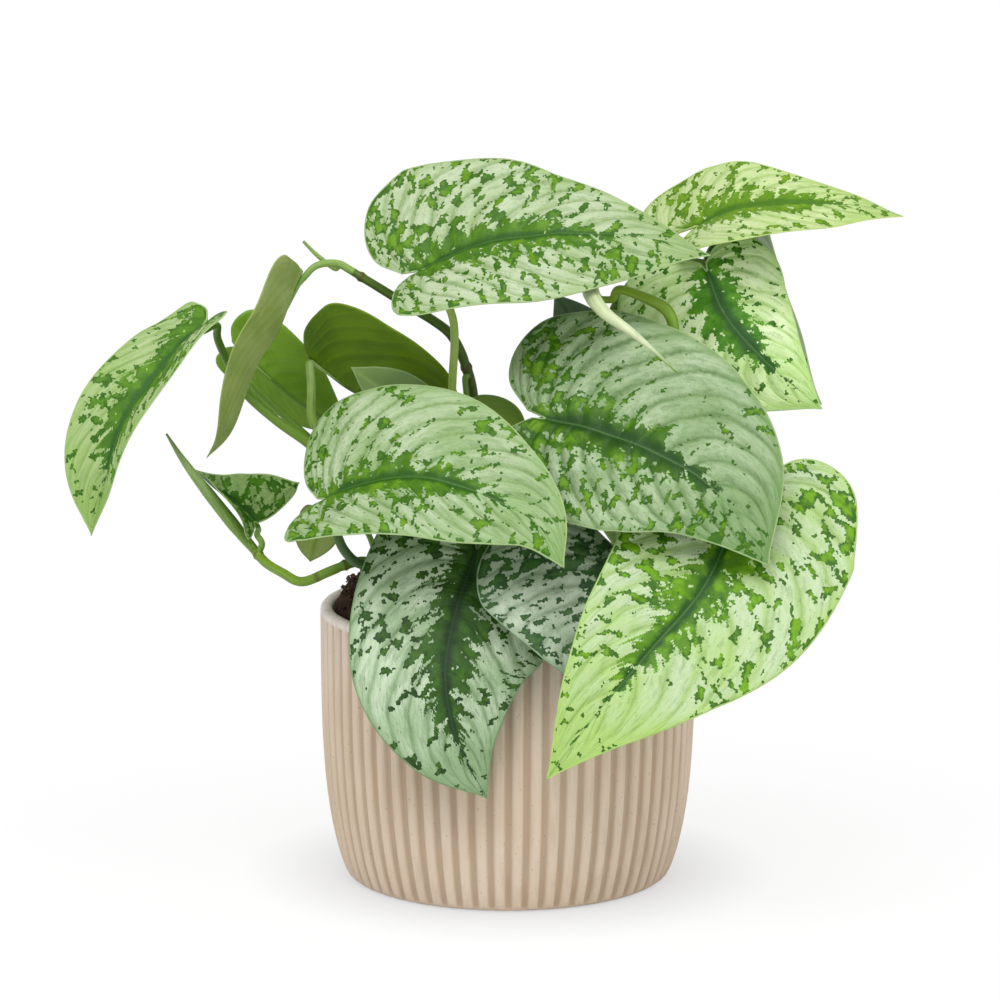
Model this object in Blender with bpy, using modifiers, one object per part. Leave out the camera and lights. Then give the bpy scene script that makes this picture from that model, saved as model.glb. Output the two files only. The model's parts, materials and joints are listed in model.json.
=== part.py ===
"""Potted satin pothos: a trailing house plant in a grooved ceramic pot. Metres, +Z up.

The pot stands at the origin. The leaf and stem tables below are in millimetres and degrees.
"""

import math

import bmesh
import bpy
import numpy as np

MM = 0.001
COLLECTION = "potted_satin_pothos"
TOUCH = 0.35 * MM  # gap between pieces that touch
SHARP_ANGLE = 40  # edges that turn more than this show as sharp

# Pot
POT_RADIUS = 75 * MM
POT_HEIGHT = 110 * MM
POT_WALL = 5 * MM
POT_FLOOR = 6 * MM
POT_FOOT_RADIUS = 60 * MM
POT_TAPER = 10.9 * MM
RIM_ROUNDING = 2.2 * MM
GROOVES = 64
GROOVE_DEPTH = 1.1 * MM
GROOVE_TOP = 104.5 * MM
GROOVE_RINGS = (3.5 * MM, 10 * MM, 22 * MM, 45 * MM, 75 * MM, 102.5 * MM)
TAPER_POWER = 3.7  # the higher, the lower down the wall starts to round in
TAPER_ROUNDING = 0.8
FOOT_EDGE = 0.8 * MM
ARC_MIDDLE = 0.3  # how far in the middle of a quarter arc lies, as a share of its radius
# Inset from the inner wall, and height, of the rings where the hollow narrows to its floor
INNER_NARROWING = ((4 * MM, 40 * MM), (14 * MM, POT_FLOOR + 4 * MM), (20 * MM, POT_FLOOR))

# Soil: radius, and height above the rim
SOIL_MOUND = ((0, 13), (30, 12.5), (50, 12), (60, 10.5), (65, 7), (68, 2), (69.5, -3))
SOIL_STEPS = 40
SOIL_GAP = 0.55 * MM  # between the soil and the wall beside it
POCKET_FLOOR = 106  # height of the floor of the holes that the stems stand in, mm
POCKET_HEIGHT = 40
POCKET_GAP = 0.6  # between a stem's foot and the side of its hole
POCKET_FLARE = 6  # widening of the hole from its floor to its top
POCKET_SIDES = 10
STEM_FOOT = POCKET_FLOOR + 0.4
FOOT_LENGTH = 8  # straight part of a stem above its foot

# Leaves
LEAF_THICKNESS = 0.9
RAYS = 9
STEPS_ACROSS = 2
# Half of a flat leaf, from the inner corner of its back lobe to the tip: share of the
# length along the midrib (negative: share of the lobe), share of the half width.
HALF_OUTLINE = (
    (-0.35, 0.03), (-0.88, 0.24), (-1.00, 0.52), (-0.72, 0.80), (0.01, 0.97), (0.15, 1.00),
    (0.36, 0.93), (0.55, 0.75), (0.73, 0.49), (0.87, 0.23), (0.95, 0.08), (1.00, 0.00),
)
FLAT = ((0, 0), (0, 0))

# Colours and roughness
PAINTS = {
    "silver": ((0.36, 0.54, 0.32), 0.5),
    "lime_silver": ((0.40, 0.58, 0.22), 0.5),
    "grey_silver": ((0.24, 0.36, 0.22), 0.5),
    "dark_silver": ((0.20, 0.35, 0.16), 0.5),
    "plain_green": ((0.14, 0.27, 0.05), 0.45),
    "olive": ((0.22, 0.30, 0.10), 0.5),
    "grey_green": ((0.15, 0.24, 0.10), 0.5),
    "dark_green": ((0.06, 0.13, 0.03), 0.45),
    "vine_green": ((0.13, 0.26, 0.04), 0.4),
    "petiole_green": ((0.28, 0.40, 0.09), 0.4),
    "sage": ((0.34, 0.42, 0.18), 0.5),
    "cream": ((0.55, 0.62, 0.38), 0.45),
    "brown": ((0.09, 0.06, 0.035), 0.9),
    "parchment": ((0.42, 0.36, 0.27), 0.8),
    "ceramic": ((0.57, 0.47, 0.37), 0.7),
    "potting_mix": ((0.06, 0.04, 0.028), 0.95),
}

# Each leaf: midrib from the petiole to the tip; the way its upper face looks, at the base
# and at the tip. Then for the left and the right half: width, back lobe, belly (above 1
# the widest place is nearer the petiole), fold up from the midrib at the base and at the
# tip, and the further turn up of that half towards its margin.
LEAVES = {
    "leaf_top": dict(
        paint="silver",
        midrib=[(-36, -12, 244.5), (-9, -20, 256.5), (14, -26, 260.5), (36, -30, 261.5),
                (60, -34, 259), (78, -36, 253.5)],
        face=[(-0.2, -0.6, 0.77), (0.1, -0.55, 0.83)],
        width=(45, 38), lobe=(18, 7), belly=(1.5, 0.85), fold=((23, 24), (-2, -30)), turn=(-8, -10),
    ),
    "leaf_upper_right": dict(
        paint="lime_silver",
        midrib=[(75, 14, 259.5), (90, 6, 267), (112, 0, 270), (135, -2, 269.5), (155, -4, 265)],
        face=[(-0.2, -0.4, 0.9), (0.1, -0.35, 0.94)],
        width=(28.5, 28), lobe=(29, 4), belly=(1.4, 0.85), fold=((24, 8), (-7, -4)), turn=(-4, -4),
    ),
    "leaf_right_hanging": dict(
        paint="silver",
        midrib=[(78, -5, 244), (85, -13, 227.5), (100, -24, 211), (122, -32, 193)],
        face=[(-0.3, -0.8, 0.45), (-0.3, -0.85, 0.3)],
        width=(29, 40), lobe=(10, 11), belly=(1.1, 1.1), fold=((-20, 0), (-20, 5)), turn=(-12, 0),
    ),
    "leaf_right_behind": dict(
        paint="grey_silver",
        midrib=[(78, 18, 242.5), (90, 13, 229.5), (106, 3, 212.5), (123, -18, 192.5)],
        face=[(-0.2, -0.8, 0.45), (-0.2, -0.85, 0.3)],
        width=(33, 24), lobe=(6, 8), belly=(2.4, 1.0), fold=((-10, -5), (-34, -5)), turn=(-8, 0),
    ),
    "leaf_centre_right": dict(
        paint="silver",
        midrib=[(14, -44, 191.5), (34, -55, 188.5), (61, -69, 179.5), (80, -80, 167.5), (98, -90, 142.5)],
        face=[(-0.15, -0.75, 0.6), (0.05, -0.8, 0.5)],
        width=(52, 42), lobe=(24, 14), belly=(0.85, 0.85), fold=((6, 10), (6, 6)), turn=(-10, -12),
    ),
    "leaf_lower_right": dict(
        paint="lime_silver",
        midrib=[(88, -66, 159.5), (74, -85, 133.5), (52, -100, 110.5), (32, -109, 88.5), (14, -114, 65.5)],
        face=[(0.1, -0.75, 0.6), (0.0, -0.85, 0.4)],
        width=(49, 39), lobe=(31, 18), belly=(1.25, 1.0), fold=((8, 8), (4, 6)), turn=(-12, -10),
    ),
    "leaf_lower_left": dict(
        paint="dark_silver",
        midrib=[(-12, -60, 143.5), (-21, -75, 118), (-24, -85, 97), (-19, -89, 73.5), (-8, -88, 51.5)],
        face=[(-0.1, -0.75, 0.6), (0.0, -0.95, 0.2)],
        width=(40, 40), lobe=(10, 8), belly=(1.0, 0.78), fold=((-4, 6), (-2, 6)), turn=(-14, -10),
    ),
    "leaf_lower_middle": dict(
        paint="grey_silver",
        midrib=[(42, -68, 139.5), (41, -84, 117), (37, -94, 99), (32, -98, 88)],
        face=[(-0.1, -0.8, 0.5), (0.0, -0.95, 0.2)],
        width=(22, 54), lobe=(10, 18), belly=(1.0, 0.8), fold=((-10, 14), (-10, 10)), turn=(-8, -6),
    ),
    "leaf_centre_left": dict(
        paint="silver",
        midrib=[(-71, -48, 160.5), (-55, -58, 168.5), (-33, -68, 172.5), (-9, -79, 167.5),
                (10, -88, 158.5), (21, -95, 142.5)],
        face=[(-0.2, -0.6, 0.75), (0.3, -0.7, 0.5)],
        width=(42, 32), lobe=(11, 10), belly=(0.95, 0.7), fold=((16, 24), (14, -6)), turn=(-10, -10),
    ),
    "leaf_far_left": dict(
        paint="dark_silver",
        midrib=[(-120, -8, 223.5), (-133, -17, 210.5), (-151, -26, 184.5), (-163, -30, 142.5)],
        face=[(-0.85, -0.25, 0.45), (-0.7, -0.65, 0.2)],
        width=(22, 23), lobe=(6, 8), belly=(0.8, 0.45), fold=((-4, 24), (24, 42)), turn=(4, 4),
    ),
    "leaf_edge_on": dict(
        paint="olive",
        midrib=[(-82, 3, 242.5), (-87, 0, 231), (-92, -3, 220), (-99, -6, 207), (-109, -10, 182),
                (-119, -10, 170)],
        face=[(-0.9, 0.1, 0.4), (-0.9, 0.1, 0.4)],
        width=(26, 16), lobe=(2, 2), belly=(0.6, 0.6), fold=((14, 12), (18, 30)), turn=(10, 10),
    ),
    "leaf_back_left": dict(
        paint="plain_green",
        midrib=[(-110, 36, 208), (-95, 38, 194), (-81, 41, 182), (-64, 44, 170)],
        face=[(-0.1, 0.9, 0.45), (0.1, 0.9, 0.3)],
        width=(13, 20), lobe=(3, 8), belly=(0.7, 0.8), fold=((6, 12), (6, 12)), turn=(0, 0),
    ),
    "leaf_green_underside": dict(
        paint="plain_green",
        midrib=[(-80, 16, 207), (-63, 17, 194), (-43, 18, 181), (-21, 22, 167)],
        face=[(0.2, 0.85, 0.5), (0.3, 0.85, 0.3)],
        width=(14, 41), lobe=(2, 9), belly=(1.0, 0.52), fold=((75, -4), (75, -4)), turn=(0, -6),
    ),
    "leaf_small_grey": dict(
        paint="grey_green",
        midrib=[(-37, -10, 188.5), (-50, -12, 198.5), (-62, -10, 206.5)],
        face=[(-0.3, -0.8, 0.5), (-0.3, -0.8, 0.5)],
        width=(10, 12), lobe=(4, 4), belly=(1.0, 1.0), fold=FLAT, turn=(0, 0),
    ),
    "leaf_small_spotted": dict(
        paint="dark_silver",
        midrib=[(-101, 1.5, 142), (-105, 0, 147), (-111, -2, 152.5), (-117, -2, 157), (-125, 0, 164)],
        face=[(0.1, -0.95, 0.2), (0.1, -0.95, 0.2)],
        width=(13, 24), lobe=(1, 3), belly=(1.0, 2.4), fold=((50, 0), (105, 0)), turn=(10, 0),
    ),
    "leaf_small_pale": dict(
        paint="olive",
        midrib=[(-75, 25, 141.5), (-78, 24, 131.5), (-80, 20, 122.5)],
        face=[(0.1, 0.95, 0.2), (0.1, 0.95, 0.0)],
        width=(9, 9), lobe=(2, 2), belly=(0.6, 0.6), fold=FLAT, turn=(0, 0),
    ),
    "leaf_olive": dict(
        paint="olive",
        midrib=[(-15, -18, 186.5), (-4, -20, 185.5), (6, -26, 173.5)],
        face=[(0.0, -0.7, 0.7), (0.1, -0.8, 0.5)],
        width=(13, 12), lobe=(3, 3), belly=(1.0, 1.0), fold=FLAT, turn=(-8, -8),
    ),
    "leaf_dark": dict(
        paint="dark_green",
        midrib=[(36, 8, 207.5), (28, 4, 218.5), (18, 0, 234.5)],
        face=[(0.1, -0.9, 0.3), (0.1, -0.9, 0.3)],
        width=(13, 13), lobe=(4, 4), belly=(1.0, 1.0), fold=FLAT, turn=(0, 0),
    ),
    "leaf_rear_right": dict(
        paint="silver",
        midrib=[(56, 52, 167.5), (57, 68, 159.5), (54, 82, 137.5), (51, 90, 105.5)],
        face=[(0.1, 0.6, 0.8), (0.1, 0.9, 0.3)],
        width=(33, 27), lobe=(10, 10), belly=(1.0, 1.0), fold=((8, 8), (4, 4)), turn=(-8, -8),
    ),
    "leaf_rear_middle": dict(
        paint="dark_silver",
        midrib=[(8, 58, 147.5), (7, 80, 139.5), (5, 95, 115.5), (2, 99, 87.5)],
        face=[(0.0, 0.6, 0.8), (0.0, 0.95, 0.2)],
        width=(25, 25), lobe=(10, 10), belly=(1.0, 1.0), fold=((8, 8), (4, 4)), turn=(-8, -8),
    ),
    "leaf_rear_left": dict(
        paint="silver",
        midrib=[(-24, 46, 161.5), (-30, 62, 161.5), (-35, 78, 145.5), (-37, 86, 121.5)],
        face=[(-0.1, 0.6, 0.8), (-0.1, 0.95, 0.2)],
        width=(18, 18), lobe=(8, 8), belly=(1.0, 1.0), fold=((8, 8), (4, 4)), turn=(-8, -8),
    ),
    "leaf_rear_upper": dict(
        paint="silver",
        midrib=[(28, 36, 185.5), (40, 50, 191.5), (52, 62, 181.5), (58, 70, 159.5)],
        face=[(0.1, 0.6, 0.8), (0.2, 0.9, 0.3)],
        width=(22, 22), lobe=(10, 10), belly=(1.0, 1.0), fold=((8, 8), (4, 4)), turn=(-8, -8),
    ),
}

# Each stem: where it starts ("soil" and the place of its hole, or the name of another
# stem and what share of its length along it), the way on, the radii from its start to its
# end, and for a petiole the blade that it carries.
STEMS = {
    "main_vine": dict(
        paint="dark_green",
        start=("soil", -14, 4),
        way=[(-14, 4, 131.5), (-13, 4, 161.5), (-14, 4, 191.5), (-17, 3, 205.5), (-22, 3, 216.5),
             (-29, 4, 222.5), (-41, 6, 229.5), (-51, 8, 235.5), (-61, 9, 241.5)],
        radii=(2.8, 2.6, 2.0, 1.7),
    ),
    "left_vine": dict(
        paint="vine_green",
        start=("soil", -40, 8),
        way=[(-42, 8, 129.5), (-50, 8, 148.5), (-65, 8, 161.5), (-79, 8, 172.5)],
        radii=(2.6, 2.3),
    ),
    "rear_vine": dict(
        paint="dark_green",
        start=("soil", 12, 6),
        way=[(13, 6, 131.5), (17, 4, 156.5), (26, 2, 186.5), (36, 1, 213.5), (43, 3, 229.5)],
        radii=(2.6, 2.0),
    ),
    "low_vine": dict(
        paint="petiole_green",
        start=("soil", -48, -22),
        way=[(-50, -23, 125.5), (-55, -26, 131.5), (-62, -29, 131.5), (-70, -30, 128.5), (-81, -26, 123.5),
             (-89, -18, 125.5), (-96, -8, 127.5), (-101, -2, 131.5)],
        radii=(1.9, 1.9),
    ),
    "shoot_stem": dict(
        paint="petiole_green",
        start=("rear_vine", 0.92),
        way=[(37, -8, 229.5), (33, -17, 238.5)],
        radii=(1.7, 1.6),
    ),
    "petiole_top": dict(
        paint="petiole_green",
        start=("main_vine", 0.42),
        way=[(-19, -7, 173.5), (-22, -10, 187.5), (-22, -10, 199.5), (-21, -10, 217), (-22, -10, 227),
             (-26, -10, 234.5)],
        radii=(1.7, 1.6), blade="leaf_top",
    ),
    "petiole_upper_right": dict(
        paint="petiole_green",
        start=("rear_vine", 0.95),
        way=[(50, 14, 231.5), (62, 18, 247.5)],
        radii=(1.6, 1.4), blade="leaf_upper_right",
    ),
    "petiole_right_hanging": dict(
        paint="petiole_green",
        start=("rear_vine", 1.0),
        way=[(49, 8, 235.5), (60, 10, 241.5), (70, 8, 245.5)],
        radii=(1.7, 1.5), blade="leaf_right_hanging",
    ),
    "petiole_right_behind": dict(
        paint="petiole_green",
        start=("rear_vine", 0.62),
        way=[(42, 16, 197.5), (58, 26, 219.5), (70, 28, 233.5)],
        radii=(1.6, 1.4), blade="leaf_right_behind",
    ),
    "petiole_centre_right": dict(
        paint="petiole_green",
        start=("soil", -2, -20),
        way=[(-2, -22, 131.5), (-2, -28, 156.5), (2, -38, 181.5)],
        radii=(1.9, 1.8), blade="leaf_centre_right",
    ),
    "petiole_lower_right": dict(
        paint="petiole_green",
        start=("soil", 36, -20),
        way=[(38, -21, 128.5), (58, -34, 150.5), (78, -50, 164.5)],
        radii=(2.0, 1.8), blade="leaf_lower_right",
    ),
    "petiole_lower_left": dict(
        paint="petiole_green",
        start=("soil", -16, -34),
        way=[(-16, -35, 127.5), (-13, -44, 145.5)],
        radii=(1.9, 1.7), blade="leaf_lower_left",
    ),
    "petiole_lower_middle": dict(
        paint="petiole_green",
        start=("soil", 20, -34),
        way=[(21, -35, 127.5), (32, -50, 145.5)],
        radii=(1.8, 1.6), blade="leaf_lower_middle",
    ),
    "petiole_centre_left": dict(
        paint="petiole_green",
        start=("soil", -34, -30),
        way=[(-36, -32, 127.5), (-46, -38, 134.5), (-57, -42, 133.5), (-64, -42, 139.5),
             (-68, -42, 149.5)],
        radii=(2.1, 1.8), blade="leaf_centre_left",
    ),
    "petiole_far_left": dict(
        paint="petiole_green",
        start=("left_vine", 1.0),
        way=[(-93, 9, 182.5), (-105, 9, 193.5), (-111, 6, 205.5), (-115, 0, 216.5)],
        radii=(2.0, 1.5), blade="leaf_far_left",
    ),
    "petiole_back_left": dict(
        paint="petiole_green",
        start=("left_vine", 0.8),
        way=[(-80, 19, 173.5), (-93, 22, 185), (-105, 24, 197), (-109, 29, 207)],
        radii=(1.7, 1.4), blade="leaf_back_left",
    ),
    "petiole_green_underside": dict(
        paint="petiole_green",
        start=("left_vine", 0.95),
        way=[(-78, 11, 181), (-78.5, 12, 196.5)],
        radii=(1.9, 1.7), blade="leaf_green_underside",
    ),
    "petiole_edge_on": dict(
        paint="petiole_green",
        start=("main_vine", 1.0),
        way=[(-67, 9, 245), (-72, 7, 245.5)],
        radii=(1.6, 1.3), blade="leaf_edge_on",
    ),
    "petiole_small_grey": dict(
        paint="petiole_green",
        start=("main_vine", 0.52),
        way=[(-24, -2, 183.5)],
        radii=(1.2, 1.0), blade="leaf_small_grey",
    ),
    "petiole_small_spotted": dict(
        paint="petiole_green",
        start=("low_vine", 0.97),
        way=[(-100, -3, 138)],
        radii=(1.3, 1.1), blade="leaf_small_spotted",
    ),
    "petiole_small_pale": dict(
        paint="petiole_green",
        start=("soil", -52, 24),
        way=[(-56, 26, 131.5), (-66, 28, 145.5)],
        radii=(1.3, 1.1), blade="leaf_small_pale",
    ),
    "petiole_olive": dict(
        paint="petiole_green",
        start=("main_vine", 0.6),
        way=[(-15, -8, 184.5)],
        radii=(1.2, 1.0), blade="leaf_olive",
    ),
    "petiole_dark": dict(
        paint="petiole_green",
        start=("rear_vine", 0.72),
        way=[(34, 10, 199.5)],
        radii=(1.2, 1.0), blade="leaf_dark",
    ),
    "petiole_rear_right": dict(
        paint="petiole_green",
        start=("soil", 30, 26),
        way=[(31, 27, 128.5), (46, 42, 159.5)],
        radii=(1.8, 1.6), blade="leaf_rear_right",
    ),
    "petiole_rear_middle": dict(
        paint="petiole_green",
        start=("soil", 4, 36),
        way=[(4, 37, 126.5), (7, 46, 143.5)],
        radii=(1.8, 1.6), blade="leaf_rear_middle",
    ),
    "petiole_rear_left": dict(
        paint="petiole_green",
        start=("soil", -20, 30),
        way=[(-20, 32, 131.5), (-21, 38, 153.5)],
        radii=(1.7, 1.5), blade="leaf_rear_left",
    ),
    "petiole_rear_upper": dict(
        paint="petiole_green",
        start=("rear_vine", 0.45),
        way=[(20, 14, 165.5), (24, 26, 179.5)],
        radii=(1.7, 1.5), blade="leaf_rear_upper",
    ),
    "new_shoot": dict(
        paint="sage",
        start=("low_vine", 1.0),
        way=[(-107, -1, 138.5), (-118, -4, 153.5), (-128, -6, 167.5), (-135, -8, 179.5)],
        radii=(1.8, 2.6, 2.4, 1.6, 0.4),
    ),
    "rolled_new_leaf": dict(
        paint="cream",
        start=("shoot_stem", 1.0),
        way=[(31, -30, 242.5), (33, -44, 237.5), (38, -52, 232.5), (46, -58, 227.5), (55, -62, 220.5),
             (64, -67, 212.5)],
        radii=(1.3, 3.2, 3.2, 2.4, 1.7, 0.8, 0.3),
    ),
    "curved_sheath": dict(
        paint="vine_green",
        start=("shoot_stem", 0.7),
        way=[(43, -20, 238.5), (53, -23, 235.5), (61, -25, 231.5), (64, -26, 225.5), (64, -27, 215.5)],
        radii=(1.4, 1.8, 2.4, 2.0),
    ),
    "upper_sheath": dict(
        paint="sage",
        start=("petiole_edge_on", 0.25),
        way=[(-76, 10, 248.5), (-81, 8, 254)],
        radii=(0.9, 1.0, 0.6),
    ),
    "old_stub": dict(
        paint="brown",
        start=("soil", -52, -10),
        way=[(-53, -12, 125.5), (-50, -14, 133.5), (-44, -14, 139.5)],
        radii=(3.2, 3.0, 2.2),
    ),
    "papery_sheath": dict(
        paint="parchment",
        start=("soil", -44, -36),
        way=[(-45, -38, 123.5), (-47, -40, 129.5)],
        radii=(1.8, 2.4, 0.8),
    ),
}
# Points of a stem for each stretch between two given ones, and sides of its section
STEM_STEPS = 2
BRANCH_GAP = 0.75  # from the side of a stem to the middle of a side stem's end, mm
BRANCH_RUN = 2.5  # straight first stretch of a side stem, as a share of its radius
BUTT_GAP = 0.5  # from the end of a stem to the start of the one that carries on from it
RUN_IN = 0.2  # least agreement of a petiole's course with the midrib to run in along it
STEM_BEVEL_RESOLUTION = 2


def catmull(points, steps):
    """A smooth line through the points, with so many steps between each two."""
    given = np.array(points, float)
    ends = np.vstack([2 * given[0] - given[1], given, 2 * given[-1] - given[-2]])
    line = []
    for a, b, c, d in zip(ends, ends[1:], ends[2:], ends[3:]):
        for t in np.arange(steps) / steps:
            line.append(
                b + (c - a) * t / 2 + (2 * a - 5 * b + 4 * c - d) * t**2 / 2
                + (3 * b - a - 3 * c + d) * t**3 / 2
            )
    return np.vstack([line, given[-1:]])


def lengths(line):
    """How far each point of the line lies from its start, along it."""
    return np.concatenate([[0], np.cumsum(np.linalg.norm(np.diff(line, axis=0), axis=1))])


def along(line, where):
    """Points of the line at the given lengths from its start; before it, straight back."""
    length = lengths(line)
    where = np.asarray(where, float)
    point = np.stack([np.interp(where, length, axis) for axis in line.T], -1)
    return point + np.maximum(-where, 0)[..., None] * unit(line[0] - line[2])


def unit(vector):
    vector = np.asarray(vector, float)
    return vector / np.linalg.norm(vector, axis=-1, keepdims=True)


class Leaf:
    """A blade as a bent flat outline: place(x, y) is where its flat point (x, y) lies."""

    def __init__(self, spec):
        self.spec = spec
        self.line = catmull(spec["midrib"], 12)
        self.length = lengths(self.line)[-1]

    def frame(self, x):
        """Midrib point, left side and upward normal at x millimetres from the base."""
        tangent = unit(along(self.line, x + 1) - along(self.line, x - 1))
        share = np.clip(x / self.length, 0, 1)[..., None]
        base, tip = np.array(self.spec["face"], float)
        up = base * (1 - share) + tip * share
        up = unit(up - tangent * (up * tangent).sum(-1, keepdims=True))
        return along(self.line, x), np.cross(up, tangent), up

    def place(self, x, y):
        """y is millimetres from the midrib, positive to the left."""
        half = np.where(y >= 0, 0, 1)
        share = np.clip(x / self.length, 0, 1)
        base, tip = np.radians(np.array(self.spec["fold"], float))
        turn = np.radians(np.array(self.spec["turn"], float))[half]
        width = np.array(self.spec["width"], float)[half]
        lift = base[half] * (1 - share) + tip[half] * share + turn * np.abs(y) / width / 2
        point, side, up = self.frame(x)
        return point + side * (y * np.cos(lift))[..., None] + up * (np.abs(y) * np.sin(lift))[..., None]

    def margin(self, side, count):
        """Flat margin points of one half (0 left, 1 right), from its back lobe to the tip."""
        shape = np.array(HALF_OUTLINE)
        ahead = np.maximum(shape[:, 0], 0) ** self.spec["belly"][side] * self.length
        x = np.where(shape[:, 0] < 0, shape[:, 0] * self.spec["lobe"][side], ahead)
        line = catmull(np.stack([x, shape[:, 1] * self.spec["width"][side]], -1), 10)
        return along(line, np.linspace(0, lengths(line)[-1], count + 1))

    def grid(self, rays, across):
        """Flat points of both halves: a row for each ray, from the midrib to the margin."""
        share = np.linspace(0, 1, rays + 1)
        rib = self.length * (0.25 * share + 0.75 * share**1.6)
        rib = np.stack([rib, np.zeros_like(rib)], -1)[:, None]
        out = np.linspace(0, 1, across + 1)[None, :, None]
        halves = []
        for side, sign in ((0, 1), (1, -1)):
            flat = rib * (1 - out) + self.margin(side, rays)[:, None] * out
            halves.append(flat * (1, sign))
        return halves


class Stem:
    """A smooth line with a radius at each point, in millimetres."""

    def __init__(self, spec, stems, leaves):
        self.spec = spec
        kind, *where = spec["start"]
        if kind == "soil":
            start = [(*where, STEM_FOOT), (*where, STEM_FOOT + FOOT_LENGTH)]
        else:
            start = stems[kind].branch(where[0], spec["way"][0], spec["radii"][0])
        end = []
        if "blade" in spec:
            end = self.under(leaves[spec["blade"]], spec["radii"][-1], spec["way"][-1])
        self.line = catmull(start + list(spec["way"]) + end, STEM_STEPS)
        length = lengths(self.line)
        radii = spec["radii"]
        self.radius = np.interp(length / length[-1], np.linspace(0, 1, len(radii)), radii)

    def branch(self, share, target, own_radius):
        """Two points of a side stem that starts on this one and heads for the target."""
        length = lengths(self.line)
        where = share * length[-1]
        middle = along(self.line, where)
        tangent = unit(along(self.line, where) - along(self.line, where - 2))
        if share == 1:
            return [tuple(middle + tangent * reach) for reach in (BUTT_GAP, BUTT_GAP + 3.5)]
        away = np.array(target, float) - middle
        away = unit(away - tangent * (away @ tangent))
        radius = np.interp(where, length, self.radius)
        run = BRANCH_RUN * own_radius
        return [tuple(middle + away * (radius + BRANCH_GAP + reach)) for reach in (0, run)]

    @staticmethod
    def under(leaf, radius, before):
        """The end of a petiole under the blade's base, along the midrib if it comes that way."""
        point, _, up = leaf.frame(np.array(0.0))
        ahead = unit(leaf.line[1] - leaf.line[0])
        course = unit(point - np.array(before))
        beside = course @ ahead > RUN_IN
        rise = 0 if beside else course @ up
        drop = LEAF_THICKNESS / 2 + TOUCH / MM + radius * math.sqrt(1 - rise**2)
        end = point + ahead * 1.5 - up * drop
        if beside:
            return [tuple(point - ahead * 4 - up * (drop + 2)), tuple(end)]
        return [tuple(end)]


def leaf_mesh(name, leaf):
    """An open blade: a fan of rays on each side of the midrib, closing on one tip vertex."""
    bm = bmesh.new()
    halves = leaf.grid(RAYS, STEPS_ACROSS)
    rib = [bm.verts.new(leaf.place(x, 0 * x) * MM) for x in halves[0][:, 0, 0]]
    for flat, turned in zip(halves, (False, True)):
        rows = []
        for ray, start in zip(flat[:-1], rib):
            spots = leaf.place(ray[1:, 0], ray[1:, 1]) * MM
            rows.append([start] + [bm.verts.new(spot) for spot in spots])
        rows.append([rib[-1]] * len(rows[0]))
        for low, high in zip(rows, rows[1:]):
            for i in range(STEPS_ACROSS):
                corners = list(dict.fromkeys([low[i], high[i], high[i + 1], low[i + 1]]))
                bm.faces.new(corners if turned else corners[::-1])
    return finish_mesh(name, bm)


def finish_mesh(name, bm):
    """The mesh, shaded smooth but for its sharp edges."""
    mesh = bpy.data.meshes.new(name)
    bm.to_mesh(mesh)
    bm.free()
    mesh.shade_smooth()
    mesh.set_sharp_from_angle(angle=math.radians(SHARP_ANGLE))
    return mesh


def add(name, data, paint, collection):
    """An object of its own material, in one of the named paints."""
    colour, roughness = PAINTS[paint]
    own = bpy.data.materials.new(name + "_" + paint)
    own.use_nodes = True
    own.diffuse_color = (*colour, 1)
    shader = own.node_tree.nodes["Principled BSDF"]
    shader.inputs["Base Color"].default_value = (*colour, 1)
    shader.inputs["Roughness"].default_value = roughness
    made = bpy.data.objects.new(name, data)
    made.data.materials.append(own)
    collection.objects.link(made)
    return made


def pot_wall(z):
    """Outer radius at a height: nearly upright, rounding in to the foot."""
    depth = 1 - z / POT_HEIGHT
    return POT_RADIUS - POT_TAPER * (1 - (1 - depth**TAPER_POWER) ** TAPER_ROUNDING)


def pot_profile():
    """Radius, height and share of the groove's depth, from the foot's middle to the inside."""
    inner = POT_RADIUS - POT_WALL
    rim = RIM_ROUNDING
    foot = [(0, 0, 0), (POT_FOOT_RADIUS, 0, 0)]
    foot.append((pot_wall(FOOT_EDGE) - 2 * FOOT_EDGE, FOOT_EDGE, 0))
    sides = [(pot_wall(z), z, 1) for z in GROOVE_RINGS]
    lip = [
        (POT_RADIUS, GROOVE_TOP, 0),
        (POT_RADIUS, POT_HEIGHT - rim, 0),
        (POT_RADIUS - ARC_MIDDLE * rim, POT_HEIGHT - ARC_MIDDLE * rim, 0),
        (POT_RADIUS - rim, POT_HEIGHT, 0),
        (inner + rim, POT_HEIGHT, 0),
        (inner + ARC_MIDDLE * rim, POT_HEIGHT - ARC_MIDDLE * rim, 0),
        (inner, POT_HEIGHT - rim, 0),
    ]
    inside = [(radius, z, 0) for radius, z in pot_inside()]
    return foot + sides + lip + inside


def pot_inside():
    """Radius and height of the inner wall, from its narrowing down to the middle of the floor."""
    inner = POT_RADIUS - POT_WALL
    rings = [(inner - inset, height) for inset, height in INNER_NARROWING]
    return rings + [(0, POT_FLOOR)]


def build_pot(collection):
    """Rings around the axis, every other column of the wall sunk into a groove."""
    columns = 2 * GROOVES
    bm = bmesh.new()
    rings = []
    for radius, z, groove in pot_profile():
        count = columns if radius else 1
        ring = []
        for i in range(count):
            depth = GROOVE_DEPTH * groove * (i % 2 == 0)
            angle = 2 * math.pi * i / columns
            across = radius - depth
            ring.append(bm.verts.new((across * math.cos(angle), across * math.sin(angle), z)))
        rings.append(ring)
    for low, high in zip(rings, rings[1:]):
        for i in range(columns):
            j = (i + 1) % columns
            corners = (low[i % len(low)], low[j % len(low)], high[j % len(high)], high[i % len(high)])
            bm.faces.new(list(dict.fromkeys(corners)))
    return add("pot", finish_mesh("pot", bm), "ceramic", collection)


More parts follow.
